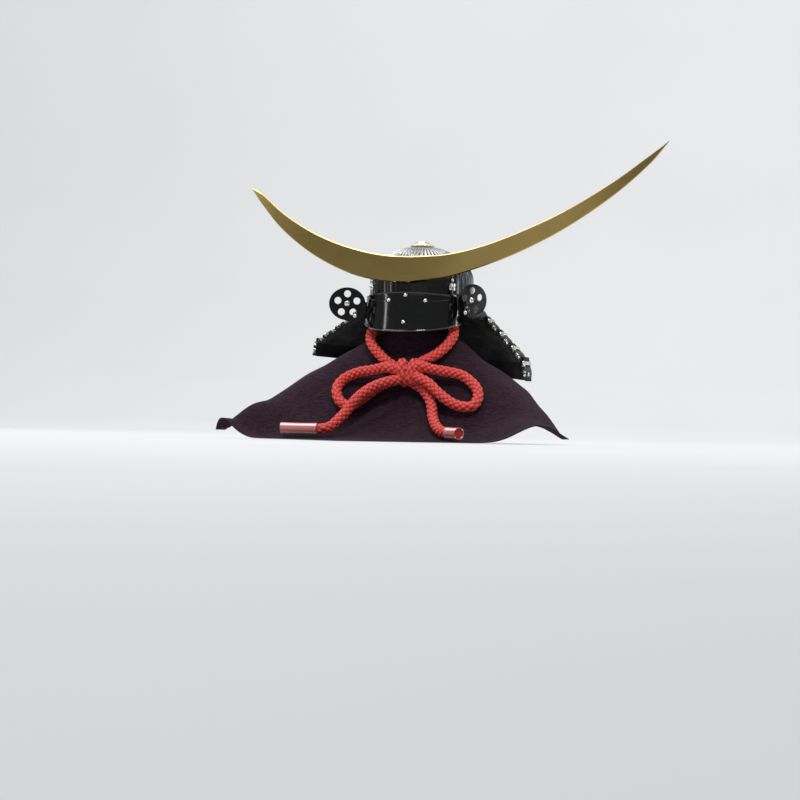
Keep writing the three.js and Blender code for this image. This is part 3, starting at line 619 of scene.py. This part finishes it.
# The last two entries are the heights above the seat over which the painted highlight on the rib crests fades in
RIB = {"width": 0.15, "on_wall": 0.25, "grown_by": 18.0, "highlight_from": 28.0, "highlight_to": 40.0}
CROWN_RADIUS, CROWN_HEIGHT, CROWN_SEAT = 12.4, 4.3, 0.45
# Radius and height of the crown fitting's rings, as shares, and how deep each row of its profile is scalloped
CROWN_ROWS = [
    (1, -0.03), (1.01, 0.04), (0.97, 0.1), (0.86, 0.24), (0.8, 0.3), (0.78, 0.44), (0.73, 0.52), (0.64, 0.55),
    (0.6, 0.6), (0.59, 0.72), (0.56, 0.86), (0.5, 0.96), (0.42, 1.0), (0.36, 0.98), (0.33, 0.88),
]
CROWN_SCALLOPS = [0, 0, 1, 1, 1, 1, 0.9, 0.5, 0.5, 0.4] + [0] * 8
CROWN_PETALS, CROWN_PETAL_DEPTH = 16, 0.08
EDGE_ROUND = 0.35


def make_bowl():
    columns = BOWL["plates"] * PLATE_COLUMNS
    angle = np.arange(columns) * 360 / columns
    phase = np.arange(columns) / PLATE_COLUMNS
    rib = np.exp(-(((phase - np.round(phase)) / RIB["width"]) ** 2))

    def shell(inset, ribbed):
        """Ribs stand low on the wall and rise to their full height on the dome."""
        radius, rise = BOWL["radius"] - inset, BOWL["rise"] - inset
        turn = np.linspace(0, math.acos(BOWL["hole"] / radius), DOME_ROWS)
        wall = np.linspace(FIT_GAP, BOWL["wall"] - 1, WALL_ROWS)
        r = np.concatenate([np.full(len(wall), radius), radius * np.cos(turn)])
        z = np.concatenate([wall, BOWL["wall"] + rise * np.sin(turn)])
        on_dome = smooth_step(z, BOWL["wall"], BOWL["wall"] + RIB["grown_by"])
        grown = (RIB["on_wall"] + (1 - RIB["on_wall"]) * on_dome) * np.sqrt(r / radius)
        r = r[:, None] + ribbed * BOWL["rib"] * rib[None, :] * grown[:, None]
        return around(r, angle[None, :], z[:, None] + SEAT)

    outer, inner = shell(0.0, 1.0), shell(BOWL["shell"], 0.0)
    points = np.concatenate([outer, inner[::-1]])
    # Painted highlight: marks the rib crests on the upper dome, where the lacquer gets its silver glint
    upper = smooth_step(outer[..., 2], SEAT + RIB["highlight_from"], SEAT + RIB["highlight_to"])
    crest = np.concatenate([rib[None, :] ** 1.5 * upper, np.zeros(inner.shape[:2])])
    faces = grid_faces(points.shape[0], columns, wrap_rows=True)
    marks = {"crest": crest}
    piece("bowl_shell", points, faces, BOWL_LACQUER, nodes=["bowl"], slot="black_lacquer", attributes=marks)


def dome_height(radius):
    return BOWL["wall"] + BOWL["rise"] * math.sqrt(1 - (radius / (BOWL["radius"] + BOWL["rib"])) ** 2)


def lathe(name, profile, finish, nodes, slot, columns=128, petals=None, sharp=35):
    """Turns a closed profile of (radius, z) round the helmet's axis. petals scallops chosen rows."""
    profile = np.array(profile, float)
    angle = np.arange(columns) * 360 / columns
    r = np.repeat(profile[:, :1], columns, axis=1)
    if petals is not None:
        count, depth, chosen = petals
        scallop = np.abs(np.sin(np.radians(angle) * count / 2)) - 0.5
        r = r * (1 + np.array(chosen, float)[:, None] * depth * scallop[None, :])
    points = around(r, angle[None, :], profile[:, 1:2] + SEAT)
    faces = grid_faces(len(profile), columns, wrap_rows=True)
    return piece(name, points, faces, finish, nodes=nodes, slot=slot, sharp=sharp)


def make_crown():
    hole = BOWL["hole"]
    foot, base = (dome_height(r) + FIT_GAP + CROWN_SEAT for r in (CROWN_RADIUS, hole * 0.9))
    profile = [(hole * 0.5, base), (hole, base), (CROWN_RADIUS, foot)]
    profile += [(CROWN_RADIUS * r, base + CROWN_HEIGHT * h) for r, h in CROWN_ROWS]
    petals = (CROWN_PETALS, CROWN_PETAL_DEPTH, CROWN_SCALLOPS)
    lathe("crown_rings", profile, GOLD, ["crown_fitting"], "pale_gold", petals=petals)


def band_radius(z):
    return BOWL["radius"] + BOWL["rib"] + FIT_GAP + BAND["flare"] * (-z / BAND["depth"])


def make_band():
    depth = BAND["depth"]
    top, low = band_radius(0), band_radius(-depth)
    profile = [
        (top - PLATE, -0.1), (top - EDGE_ROUND, 0), (top, -EDGE_ROUND), (top + 0.05, -depth / 2),
        (low, -depth + 0.5), (low - 0.4, -depth), (low - PLATE, -depth),
    ]
    lathe("band_ring", profile, LACQUER, ["bowl_band"], "black_lacquer", columns=192, sharp=60)


# Visor
VISOR_BASE = band_radius(-BAND["depth"]) + FIT_GAP + PLATE
VISOR_ROWS, VISOR_COLUMNS, RIM_SIDES = 49, 121, 16
BEAD = {"lift": 0.45, "width": 0.022}
# The two embossed brows: height, width, place down the plate, and where along it they fade in and out
BROW = {
    "lift": 0.4, "width": 0.02, "down": 0.2, "arch": 0.05, "slope": 0.06,
    "fade_in": (0.22, 0.4), "fade_out": (0.8, 0.95),
}


def visor_at(angle, share, inward=0.0):
    side = angle / VISOR["half"]
    top = -VISOR["top"] - VISOR["dip"] * side**2
    bottom = -VISOR["top"] - VISOR["depth"] + VISOR["corner"] * side**2
    z = top + share * (bottom - top)
    flare = VISOR["flare"] * np.cos(np.radians(angle)) ** 2 * np.maximum(share, 0) ** 1.3
    return around(VISOR_BASE + flare - inward, angle, z + SEAT)


def make_visor():
    angle = np.linspace(-VISOR["half"], VISOR["half"], VISOR_COLUMNS)[None, :]
    share = np.linspace(0, 1, VISOR_ROWS)[:, None]
    side = np.abs(angle) / VISOR["half"]
    bead = BEAD["lift"] * np.exp(-((share / BEAD["width"]) ** 2)) * np.ones_like(angle)
    brow = BROW["down"] + BROW["arch"] * np.sin(side * np.pi * 1.4) - BROW["slope"] * side
    shown = smooth_step(side, *BROW["fade_in"]) * (1 - smooth_step(side, *BROW["fade_out"]))
    ridge = BROW["lift"] * np.exp(-(((share - brow) / BROW["width"]) ** 2)) * shown
    outer = visor_at(angle, share, -(bead + ridge))
    inner = visor_at(angle, share, PLATE * np.ones_like(angle * share))
    points = np.concatenate([outer, inner[::-1]])
    faces = plate_faces(2 * VISOR_ROWS, VISOR_COLUMNS)
    piece("visor_plate", points, faces, LACQUER, nodes=["visor"], slot="black_lacquer", sharp=50)


def make_visor_rim():
    angle = np.linspace(-VISOR["half"], VISOR["half"], VISOR_COLUMNS)
    line = visor_at(angle, np.ones_like(angle), PLATE / 2)
    line[:, 2] -= VISOR["rim"] + FIT_GAP
    grid = tube(line, VISOR["rim"] + 0.1, np.arange(RIM_SIDES) / RIM_SIDES)
    capped("visor_edge", grid, RIM_LACQUER, nodes=["visor_rim"], slot="black_lacquer")


# Rivets: profiles as shares of radius and height, and a radius and height for each kind
ROUND_HEAD = [
    (0.0, 0.0), (1.0, 0.0), (1.0, 0.12), (0.94, 0.38), (0.8, 0.66), (0.56, 0.88), (0.28, 0.98), (0.02, 1.0),
]
LEAF_HEAD = [
    (0.0, 0.0), (1.0, 0.0), (1.02, 0.14), (0.9, 0.26), (0.6, 0.3), (0.5, 0.36), (0.48, 0.55), (0.38, 0.84),
    (0.2, 0.97), (0.02, 1.0),
]
RIVET_COLUMNS, LEAF_COUNT, LEAF_DEPTH, LEAF_FROM = 48, 4, 0.26, 0.55
RIVETS = {
    "leaf": (3.6, 3.0), "stud": (1.6, 1.3), "visor": (2.1, 1.5), "lame": (2.2, 1.6),
    "hub": (3.4, 2.2), "tab": (2.6, 2.0),
}
BOWL_RIVET_ANGLES = [-52, 52, 128, -128]
VISOR_RIVETS = [(-17, 0.22), (1, 0.09), (21, 0.22), (1, 0.8)]


def rivet(node, seat, direction, kind, leaves=0):
    """A turned head on a seat; with leaves, its plate is cut to that many lobes."""
    radius, height = RIVETS[kind]
    turn = np.arange(RIVET_COLUMNS) / RIVET_COLUMNS * 2 * np.pi
    local = []
    for spread, rise in LEAF_HEAD if leaves else ROUND_HEAD:
        cut = leaves and spread > LEAF_FROM
        lobe = LEAF_DEPTH * (np.abs(np.cos(leaves * turn / 2)) * 2 - 1) if cut else 0 * turn
        r = radius * spread * (1 + lobe)
        local.append(np.stack([r * np.cos(turn), r * np.sin(turn), np.full(len(turn), rise * height)], axis=1))
    turned = Vector((0, 0, 1)).rotation_difference(Vector(direction).normalized()).to_matrix()
    grid = np.array(local) @ np.array(turned).T + np.array(seat)
    capped(f"{node}_head", grid, SILVER, nodes=[node], slot="silver_rivet", sharp=40)


def make_rivets():
    wall = BOWL["radius"] + BOWL["rib"] + FIT_GAP
    for i, angle in enumerate(BOWL_RIVET_ANGLES, 1):
        seat = around(wall, angle, SEAT + BOWL["wall"] * 0.62)
        rivet(f"bowl_rivet_{i}", seat, around(1, angle, 0), "leaf", leaves=LEAF_COUNT)
        seat = around(wall - 0.1, angle, SEAT + BOWL["wall"] + 2.2)
        rivet(f"bowl_stud_{i}", seat, around(1, angle, 0.06), "stud")
    for i, (angle, share) in enumerate(VISOR_RIVETS, 1):
        seat = visor_at(angle, share, -FIT_GAP)
        above, beside = visor_at(angle, share - 0.05, -FIT_GAP), visor_at(angle + 3, share, -FIT_GAP)
        outward = np.cross(above - seat, beside - seat)
        outward *= np.sign(outward.dot(around(1, angle, 0)))
        rivet(f"visor_rivet_{i}", seat, outward, "visor")
    for word, side in SIDES.items():
        angle = side * (LAME_FRONTS[-1] + 5)
        seat = lame_at(lame_sections()[-1], LAME["count"] - 1, angle, 0.72, PLATE + FIT_GAP)
        rivet(f"lame_rivet_{word}", seat, around(1, angle, 0.1), "lame")


# Neck guard
LAME_BULGE, LAME_ROWS, SCALE_PITCH, SCALE_COLUMNS = 0.8, 13, 4.7, 6
SCALE_RIDGE, LAME_LIP, LAME_LIP_WIDTH = 0.28, 0.35, 0.06
# The last lame's lower front corners are cut away over this many degrees by this share of its length
CORNER_CUT, CORNER_ANGLE = 0.28, 3.6
# Scale heads and laces: half height, lift, share of the pitch; both sink into the plate and rise unevenly
HEAD = {"half": 1.9, "lift": 1.55, "wide": 0.46, "gap": 2.3}
LACE = {"lift": 1.05, "wide": 0.4, "narrowing": 0.12, "end": 0.93, "plait": 0.16, "plaits": 14}
SUNK, UNEVEN, PATCH = 0.2, 0.1, 7
BINDING = {"count": 6, "long": 1.75, "high": 1.5, "proud": 1.9, "wide": 1.5, "lean": 0.5, "end": 0.97}


def lame_sections():
    """Each lame's upper edge, its directions down and outwards, and its length."""
    sections = []
    top = np.array([band_radius(-BAND["depth"]) + FIT_GAP + 0.2, -LAME_HANG])
    last = LAME["count"] - 1
    steeper = LAME["lap"] * math.sin(math.radians(LAME["last_slope"] - LAME["slope"]))
    for k in range(LAME["count"]):
        slope = math.radians(LAME["last_slope"] if k == last else LAME["slope"])
        down, out = np.array([math.cos(slope), -math.sin(slope)]), np.array([math.sin(slope), math.cos(slope)])
        sections.append((top, down, out, LAME["last_length"] if k == last else LAME["length"]))
        room = PLATE + LAME_GAP + (steeper if k == last - 1 else 0)
        top = top + down * (LAME["length"] - LAME["lap"]) + out * room
    return sections


def lame_at(section, k, angle, share, outward):
    top, down, out, length = section
    share = np.asarray(share, float)
    outward = outward + LAME_BULGE * np.sin(np.pi * np.clip(share, 0, 1))
    r = top[0] + down[0] * length * share + out[0] * outward
    z = top[1] + down[1] * length * share + out[1] * outward
    point = around(r, angle, z + SEAT)
    point[..., 2] -= point[..., 0] * LAME_SWAY * (k + share * length / (LAME["length"] - LAME["lap"]))
    return point


def make_lame(k):
    section = lame_sections()[k]
    front = LAME_FRONTS[k]
    top, down, _, length = section
    arc = math.radians(360 - 2 * front) * (top[0] + down[0] * length / 2)
    scales = int(arc / SCALE_PITCH)
    columns = scales * SCALE_COLUMNS + 1
    column = np.arange(columns)
    angle = np.linspace(front, 360 - front, columns)[None, :]
    phase = ((column / SCALE_COLUMNS) % 1)[None, :]
    share = np.linspace(0, 1, LAME_ROWS)[:, None]
    ridge = SCALE_RIDGE * np.abs(np.sin(np.pi * phase)) ** 0.7
    edge = np.minimum(1, np.minimum(column, columns - 1 - column) / 3)[None, :]
    lip = LAME_LIP * np.exp(-(((1 - share) / LAME_LIP_WIDTH) ** 2))
    if k == LAME["count"] - 1:
        near = np.minimum(angle - front, 360 - front - angle)
        share = share * (1 - CORNER_CUT * np.clip(1 - near / CORNER_ANGLE, 0, 1) ** 2)
    outer = lame_at(section, k, angle, share, PLATE + (ridge + lip) * edge)
    inner = lame_at(section, k, angle, share, 0.0 * edge)
    points = np.concatenate([outer, inner[::-1]])
    faces = plate_faces(2 * LAME_ROWS, columns)
    nodes = [f"neck_lame_{k + 1}"]
    piece(f"lame_plate_{k + 1}", points, faces, LAME_LACQUER, nodes=nodes, slot="lame_lacquer", sharp=50)
    place_rows(section, k, front, scales)


def place_rows(section, k, front, scales):
    """Scale heads under the lame above, and the lacing that hangs below them."""
    length = section[3]
    heads, laces = Heap(), Heap()
    u, v = np.linspace(-1, 1, PATCH)[None, :], np.linspace(-1, 1, PATCH)[:, None]
    dome = np.sqrt(np.clip(1 - np.abs(u) ** 2.6, 0, 1)) * np.sqrt(np.clip(1 - np.abs(v) ** 2.6, 0, 1))
    pitch = (360 - 2 * front) / scales
    head_at = (1.6 if k == 0 else LAME["lap"] + 2.0) / length
    low, high = head_at + HEAD["gap"] / length, LACE["end"]
    lace_at, lace_half = (low + high) / 2, (high - low) / 2
    plait = 1 + LACE["plait"] * np.cos(v * LACE["plaits"])
    for n in range(scales):
        middle = front + pitch * (n + 0.5)
        uneven = UNEVEN * math.sin(n * 2.4)
        angle = middle + u * pitch * HEAD["wide"]
        lift = PLATE - SUNK + (HEAD["lift"] + uneven) * dome
        heads.add(lame_at(section, k, angle, head_at + v * (HEAD["half"] / length), lift), wrap_columns=False)
        angle = middle + u * pitch * LACE["wide"] * (1 - LACE["narrowing"] * v)
        lift = PLATE - SUNK + (LACE["lift"] + uneven) * dome * plait
        laces.add(lame_at(section, k, angle, lace_at + v * lace_half, lift), wrap_columns=False)
    # The heads are in pale metal, a painted highlight for the glint on their black lacquer
    heads.piece(f"lame_scales_{k + 1}", PALE_GLINT_METAL, slot="lame_lacquer", sharp=0)
    laces.piece(f"lame_lacing_{k + 1}", LACING, slot="lame_lacquer", sharp=0)


def make_edge_lacing(side, word):
    """Slanted pale and dark stitches that bind the lames' front edges, the pale ones in pale metal as a painted
    highlight.
    """
    pale, dark = Heap(), Heap()
    polar = np.linspace(0.05, np.pi - 0.05, 9)[:, None]
    turn = np.linspace(0, 2 * np.pi, 12, endpoint=False)[None, :]
    flat = (np.cos(polar), np.sin(polar) * np.cos(turn), np.sin(polar) * np.sin(turn))
    ball = np.stack(np.broadcast_arrays(*flat), axis=-1)
    outward = PLATE * 0.7
    for k, section in enumerate(lame_sections()):
        start = 0.1 if k == 0 else LAME["lap"] / section[3]
        angle = side * LAME_FRONTS[k]
        for n in range(BINDING["count"]):
            share = start + (BINDING["end"] - start) * (n + 0.5) / BINDING["count"]
            at = lame_at(section, k, angle, share, outward)
            down = lame_at(section, k, angle, share + 0.05, outward) - at
            down /= np.linalg.norm(down)
            out = lame_at(section, k, angle, share, outward + 1) - at
            out = out - down * out.dot(down)
            out /= np.linalg.norm(out)
            across = np.cross(down, out)
            lean = across * BINDING["lean"] * (-1) ** n
            high = BINDING["proud"] if n % 2 else BINDING["high"]
            axes = np.array([(down + lean) * BINDING["long"], out * high, across * BINDING["wide"]])
            heap = dark if n % 3 == 2 else pale
            heap.add(at + ball @ axes, caps=True)
    pale.piece(f"edge_lacing_{word}", PALE_GLINT_METAL, slot="lame_lacquer", sharp=0)
    dark.piece(f"edge_lacing_dark_{word}", LACING, slot="lame_lacquer", sharp=0)


# Turned-back plates: each is an oval with a tab at its lower inner side, where it is riveted
EAR_BEVEL, EAR_HOLES, HOLE_POINTS, EAR_POINTS = 0.3, 5, 40, 128
EAR_TAB = {"angle": -42, "swell": 0.2, "width": 26, "rivet": (0.22, 0.37)}


def ear_matrix(side):
    yaw = math.radians(EAR["yaw"])
    inward = Vector((-side * math.cos(yaw), math.sin(yaw), 0))
    forward = Vector((-side * math.sin(yaw), -math.cos(yaw), 0))
    axes = Matrix((inward * -side, Vector((0, 0, 1)), forward)).transposed().to_4x4()
    height = SEAT - EAR["drop"] + side * EAR["tilt"]
    place = Vector(around(BOWL["radius"] + EAR["reach"], side * EAR["angle"], height))
    return Matrix.Translation(place) @ axes


def ear_outlines(side):
    """The plate's outline, then its holes; the right plate mirrors the left one."""
    turn = np.arange(EAR_POINTS) / EAR_POINTS * 360
    away = (turn - EAR_TAB["angle"] + 180) % 360 - 180
    grow = 1 + EAR_TAB["swell"] * np.exp(-((away / EAR_TAB["width"]) ** 2))
    x = -side * EAR["width"] / 2 * grow * np.cos(np.radians(turn))
    outlines = [np.stack([x, EAR["height"] / 2 * grow * np.sin(np.radians(turn))], axis=1)]
    b = np.arange(HOLE_POINTS) / HOLE_POINTS * 2 * np.pi
    for i in range(EAR_HOLES):
        a = 2 * np.pi * (0.25 + i / EAR_HOLES)
        hole_x, hole_y = -side * EAR_RING * np.cos(a), EAR_RING * np.sin(a)
        outlines.append(np.stack([hole_x + EAR_HOLE * np.cos(b), hole_y + EAR_HOLE * np.sin(b)], axis=1))
    return outlines


def make_ear(side, word):
    place = ear_matrix(side)
    curve = bpy.data.curves.new(f"ear_{word}", "CURVE")
    curve.dimensions, curve.fill_mode = "2D", "BOTH"
    curve.extrude, curve.offset = PLATE / 2 - EAR_BEVEL, -EAR_BEVEL
    curve.bevel_depth, curve.bevel_resolution = EAR_BEVEL, 3
    for outline in ear_outlines(side):
        spline = curve.splines.new("POLY")
        spline.points.add(len(outline) - 1)
        for point, (px, py) in zip(spline.points, outline):
            point.co = (px, py, 0, 1)
        spline.use_cyclic_u = True
    holder = add_object("ear_outline", curve)
    bpy.context.view_layer.update()
    mesh = bpy.data.meshes.new_from_object(holder.evaluated_get(bpy.context.evaluated_depsgraph_get()))
    bpy.data.objects.remove(holder)
    mesh.transform(Matrix.Scale(MM, 4) @ place)
    mesh.materials.clear()
    mesh.materials.append(LACQUER)
    mesh.shade_smooth()
    mesh.set_sharp_from_angle(angle=math.radians(40))
    settle(add_object(f"ear_plate_{word}", mesh), [f"turnback_{word}"])
    face = PLATE / 2 + FIT_GAP
    forward = place.to_3x3() @ Vector((0, 0, 1))
    rivet(f"turnback_hub_{word}", place @ Vector((0, 0, face)), forward, "hub")
    across, down = EAR_TAB["rivet"]
    tab = Vector((-side * EAR["width"] * across, -EAR["height"] * down, face))
    rivet(f"turnback_rivet_{word}", place @ tab, forward, "tab")


# Crest
CREST_STEPS = {"short": 160, "long": 200}
CREST_LIP, CREST_BEVEL_SHARE, CREST_BACK = 0.15, 0.3, 0.85


def make_crest():
    sections = []
    for arm, way in (("short", -1), ("long", 1)):
        reach, rise = ARMS[arm]
        share = np.arange(CREST_STEPS[arm] + 1) / CREST_STEPS[arm]
        if arm == "short":
            share = share[:0:-1]
        width = CREST["width"] * smooth_table(CREST_ROWS, "along", share, arm)
        x = CREST["middle"] + way * reach * share
        top = SEAT + CREST["lift"] + CREST["width"] + rise * smooth_table(CREST_ROWS, "along", share, f"{arm}_lift")
        bottom = top - width
        front = -CREST["forward"] + CREST["bow"] * (x - CREST["middle"]) ** 2
        bevel = np.minimum(CREST["bevel"], width * CREST_BEVEL_SHARE)
        edge, back = front + CREST["thick"] * CREST_BACK, front + CREST["thick"]
        outline = [
            (front, bottom + bevel), (front, top - bevel), (edge, top),
            (back, top - CREST_LIP), (back, bottom + CREST_LIP), (edge, bottom),
        ]
        sections.append(np.stack([np.stack([x, y, z], axis=1) for y, z in outline], axis=1))
    grid = np.concatenate(sections)
    capped("crest_blade", grid, BRASS, nodes=["crescent_crest"], slot="pale_brass", sharp=20)


# Cloth
CLOTH_COLUMNS, CLOTH_GRID_ROWS, CLOTH_INNER = 320, 110, (0.15, 0.4, 0.7, 0.9)
FOLD_EASE = 0.3
WALK_STRIDE, WALK_STEPS = 0.4, 900
ROUND_RIPPLE, CROSS_RIPPLE = 0.45, 0.3


def cloth_height(radius, angle):
    turn = np.abs(angle)
    reach = CLOTH_HALF * smooth_table(CLOTH_ROWS, "angle", turn, "reach")
    fall = smooth_table(CLOTH_ROWS, "angle", turn, "fall")
    share = np.clip((radius - SHOULDER) / (reach - SHOULDER), 0, 1)
    height = CLOTH_THICK + (CLOTH_TOP - CLOTH_THICK) * (1 - share) ** fall
    for middle, width, lift, start, end in FOLDS:
        rise = smooth_step(share, start, start + FOLD_EASE) - smooth_step(share, end - FOLD_EASE, end)
        height = height + lift * STAND_HEIGHT * np.exp(-(((angle - middle) / width) ** 2)) * rise
    return height


def hem_distance(angle):
    """Flat distance from the stand's axis to the edge of the square."""
    s, c = np.abs(np.sin(np.radians(angle))), np.cos(np.radians(angle))
    ahead = (CLOTH_HALF + CLOTH_FORWARD) / (s + c + 1e-9)
    behind = (CLOTH_HALF - CLOTH_FORWARD) / np.maximum(s - c, 1e-9)
    return np.where((c > 0) & (ahead * c >= CLOTH_FORWARD), ahead, behind)


def cloth_grid(columns, rows):
    """Walks down the cloth along each angle, from the stand's shoulder to the hem."""
    angles = -180 + 360 * np.arange(columns) / columns
    corner = math.degrees(math.atan(CLOTH_HALF / CLOTH_FORWARD))
    for exact in (-corner, corner):
        angles[np.abs(angles - exact).argmin()] = exact
    radius = SHOULDER + WALK_STRIDE * np.arange(WALK_STEPS)
    height = cloth_height(radius[None, :], angles[:, None])
    walked = np.cumsum(np.hypot(WALK_STRIDE, np.diff(height, axis=1)), axis=1)
    length = SHOULDER + np.concatenate([np.zeros((columns, 1)), walked], axis=1)
    share = np.linspace(0, 1, rows)
    grid = []
    for i, angle in enumerate(angles):
        wanted = SHOULDER + share * (hem_distance(angle) - SHOULDER)
        r = np.interp(wanted, length[i], radius)
        grid.append(around(r, angle, np.interp(r, radius, height[i])))
    return np.array(grid).transpose(1, 0, 2), angles


def make_cloth():
    columns = CLOTH_COLUMNS
    grid, angles = cloth_grid(columns, CLOTH_GRID_ROWS)
    inner = [around(np.full(columns, SHOULDER * s), angles, CLOTH_TOP) for s in CLOTH_INNER]
    grid = np.concatenate([np.array(inner), grid])
    x, y, z = (grid[..., k] for k in range(3))
    far = np.hypot(x, y)
    round_it = np.sin(far * 0.16 + 2.2 * np.sin(np.radians(angles) * 3))
    across_it = np.sin(x * 0.11 + y * 0.05) * np.sin(y * 0.07)
    ripple = ROUND_RIPPLE * round_it + CROSS_RIPPLE * across_it
    shown = smooth_step(far, 30, 60) * smooth_step(z, 2, 12)
    grid[..., 2] = np.maximum(z + shown * ripple, CLOTH_THICK * 0.9)
    faces = grid_faces(grid.shape[0], columns)
    faces.append(list(range(columns))[::-1])
    obj = piece("cloth_square", grid, faces, CREPE, nodes=["stand_cloth"], slot="crepe_cloth", sharp=0)
    if obj.data.polygons[0].normal.z < 0:
        obj.data.flip_normals()
    solid = obj.modifiers.new("thickness", "SOLIDIFY")
    solid.thickness, solid.offset = CLOTH_THICK * 0.6 * MM, -1


def dress_nodes():
    """Materials and softened edges for the solids that stay as they are."""
    for name, material, width in (("stand", WOOD, 1.2), ("helmet_post", WOOD, 0.6), ("crest_holder", LACQUER, 0.7)):
        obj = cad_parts[name]
        obj.data.materials.clear()
        obj.data.materials.append(material)
        weld = obj.modifiers.new("weld", "WELD")
        weld.merge_threshold = 0.00002
        bevel = obj.modifiers.new("bevel", "BEVEL")
        bevel.width, bevel.segments, bevel.limit_method = width * MM, 3, "ANGLE"
        bevel.angle_limit = math.radians(30)


# Floor and light, in metres
FLOOR_HALF_WIDTH = 4.5
FLOOR_PROFILE = [(-3.4, 0), (1.6, 0), (1.9, 0.02), (2.15, 0.1), (2.32, 0.25), (2.4, 0.45), (2.42, 0.75), (2.42, 3.2)]
# Each light's place, aim, size and watts
LIGHTS = {
    "key": ((0.6, -1.5, 2.2), (0, 0, 0.12), (0.6, 0.6), 34),
    "overhead": ((-0.8, 0.15, 2.0), (-0.2, 0, 0.1), (2.8, 1.0), 30),
    "front_panel": ((0.35, -2.6, 0.64), (0, 0, 0.2), (1.5, 0.5), 1.3),
    "window_left": ((-2.12, -1.13, 0.9), (0, 0, 0.2), (0.2, 2.0), 7),
    "window_right": ((2.2, 0.5, 0.8), (0, 0, 0.2), (0.13, 2.0), 8),
    "backdrop_wash": ((0, 0.9, 2.7), (0, 2.42, 1.1), (3.5, 0.8), 38),
}
SKY_COLOUR, SKY_STRENGTH = (0.95, 0.97, 1.0, 1), 0.2


def stage_material():
    n = Nodes("pale_ground", Roughness=0.7, Emission_Strength=0.43)
    n.set("Emission Color", (0.97, 0.985, 1.0, 1))
    n.set("Base Color", n.ramp(n.noise(3, 3), *zip((NOISE_LOW, NOISE_HIGH), FLOOR_GREYS)))
    return n.material


def make_stage():
    """A pale floor that rises behind into a backdrop."""
    points = [(side * FLOOR_HALF_WIDTH, y, z) for y, z in FLOOR_PROFILE for side in (-1, 1)]
    faces = [[2 * j, 2 * j + 1, 2 * j + 3, 2 * j + 2] for j in range(len(FLOOR_PROFILE) - 1)]
    mesh = bpy.data.meshes.new("floor")
    mesh.from_pydata(points, [], faces)
    mesh.materials.append(stage_material())
    mesh.shade_smooth()
    add_object("floor", mesh)


def make_lights():
    for name, (at, aim, size, watts) in LIGHTS.items():
        data = bpy.data.lights.new(name, "AREA")
        data.shape, data.size, data.size_y, data.energy = "RECTANGLE", *size, watts
        light = add_object(name, data)
        light.location = at
        light.rotation_mode = "QUATERNION"
        light.rotation_quaternion = (Vector(aim) - Vector(at)).to_track_quat("-Z", "Y")
    world = bpy.data.worlds.new("studio")
    world.use_nodes = True
    sky = world.node_tree.nodes["Background"]
    sky.inputs["Color"].default_value = SKY_COLOUR
    sky.inputs["Strength"].default_value = SKY_STRENGTH
    bpy.context.scene.world = world


make_cords()
make_bowl()
make_crown()
make_band()
make_visor()
make_visor_rim()
make_rivets()
for lame in range(LAME["count"]):
    make_lame(lame)
for word, side in SIDES.items():
    make_edge_lacing(side, word)
for word, side in SIDES.items():
    make_ear(side, word)
make_crest()
make_cloth()
dress_nodes()
make_stage()
make_lights()

bpy.context.view_layer.update()
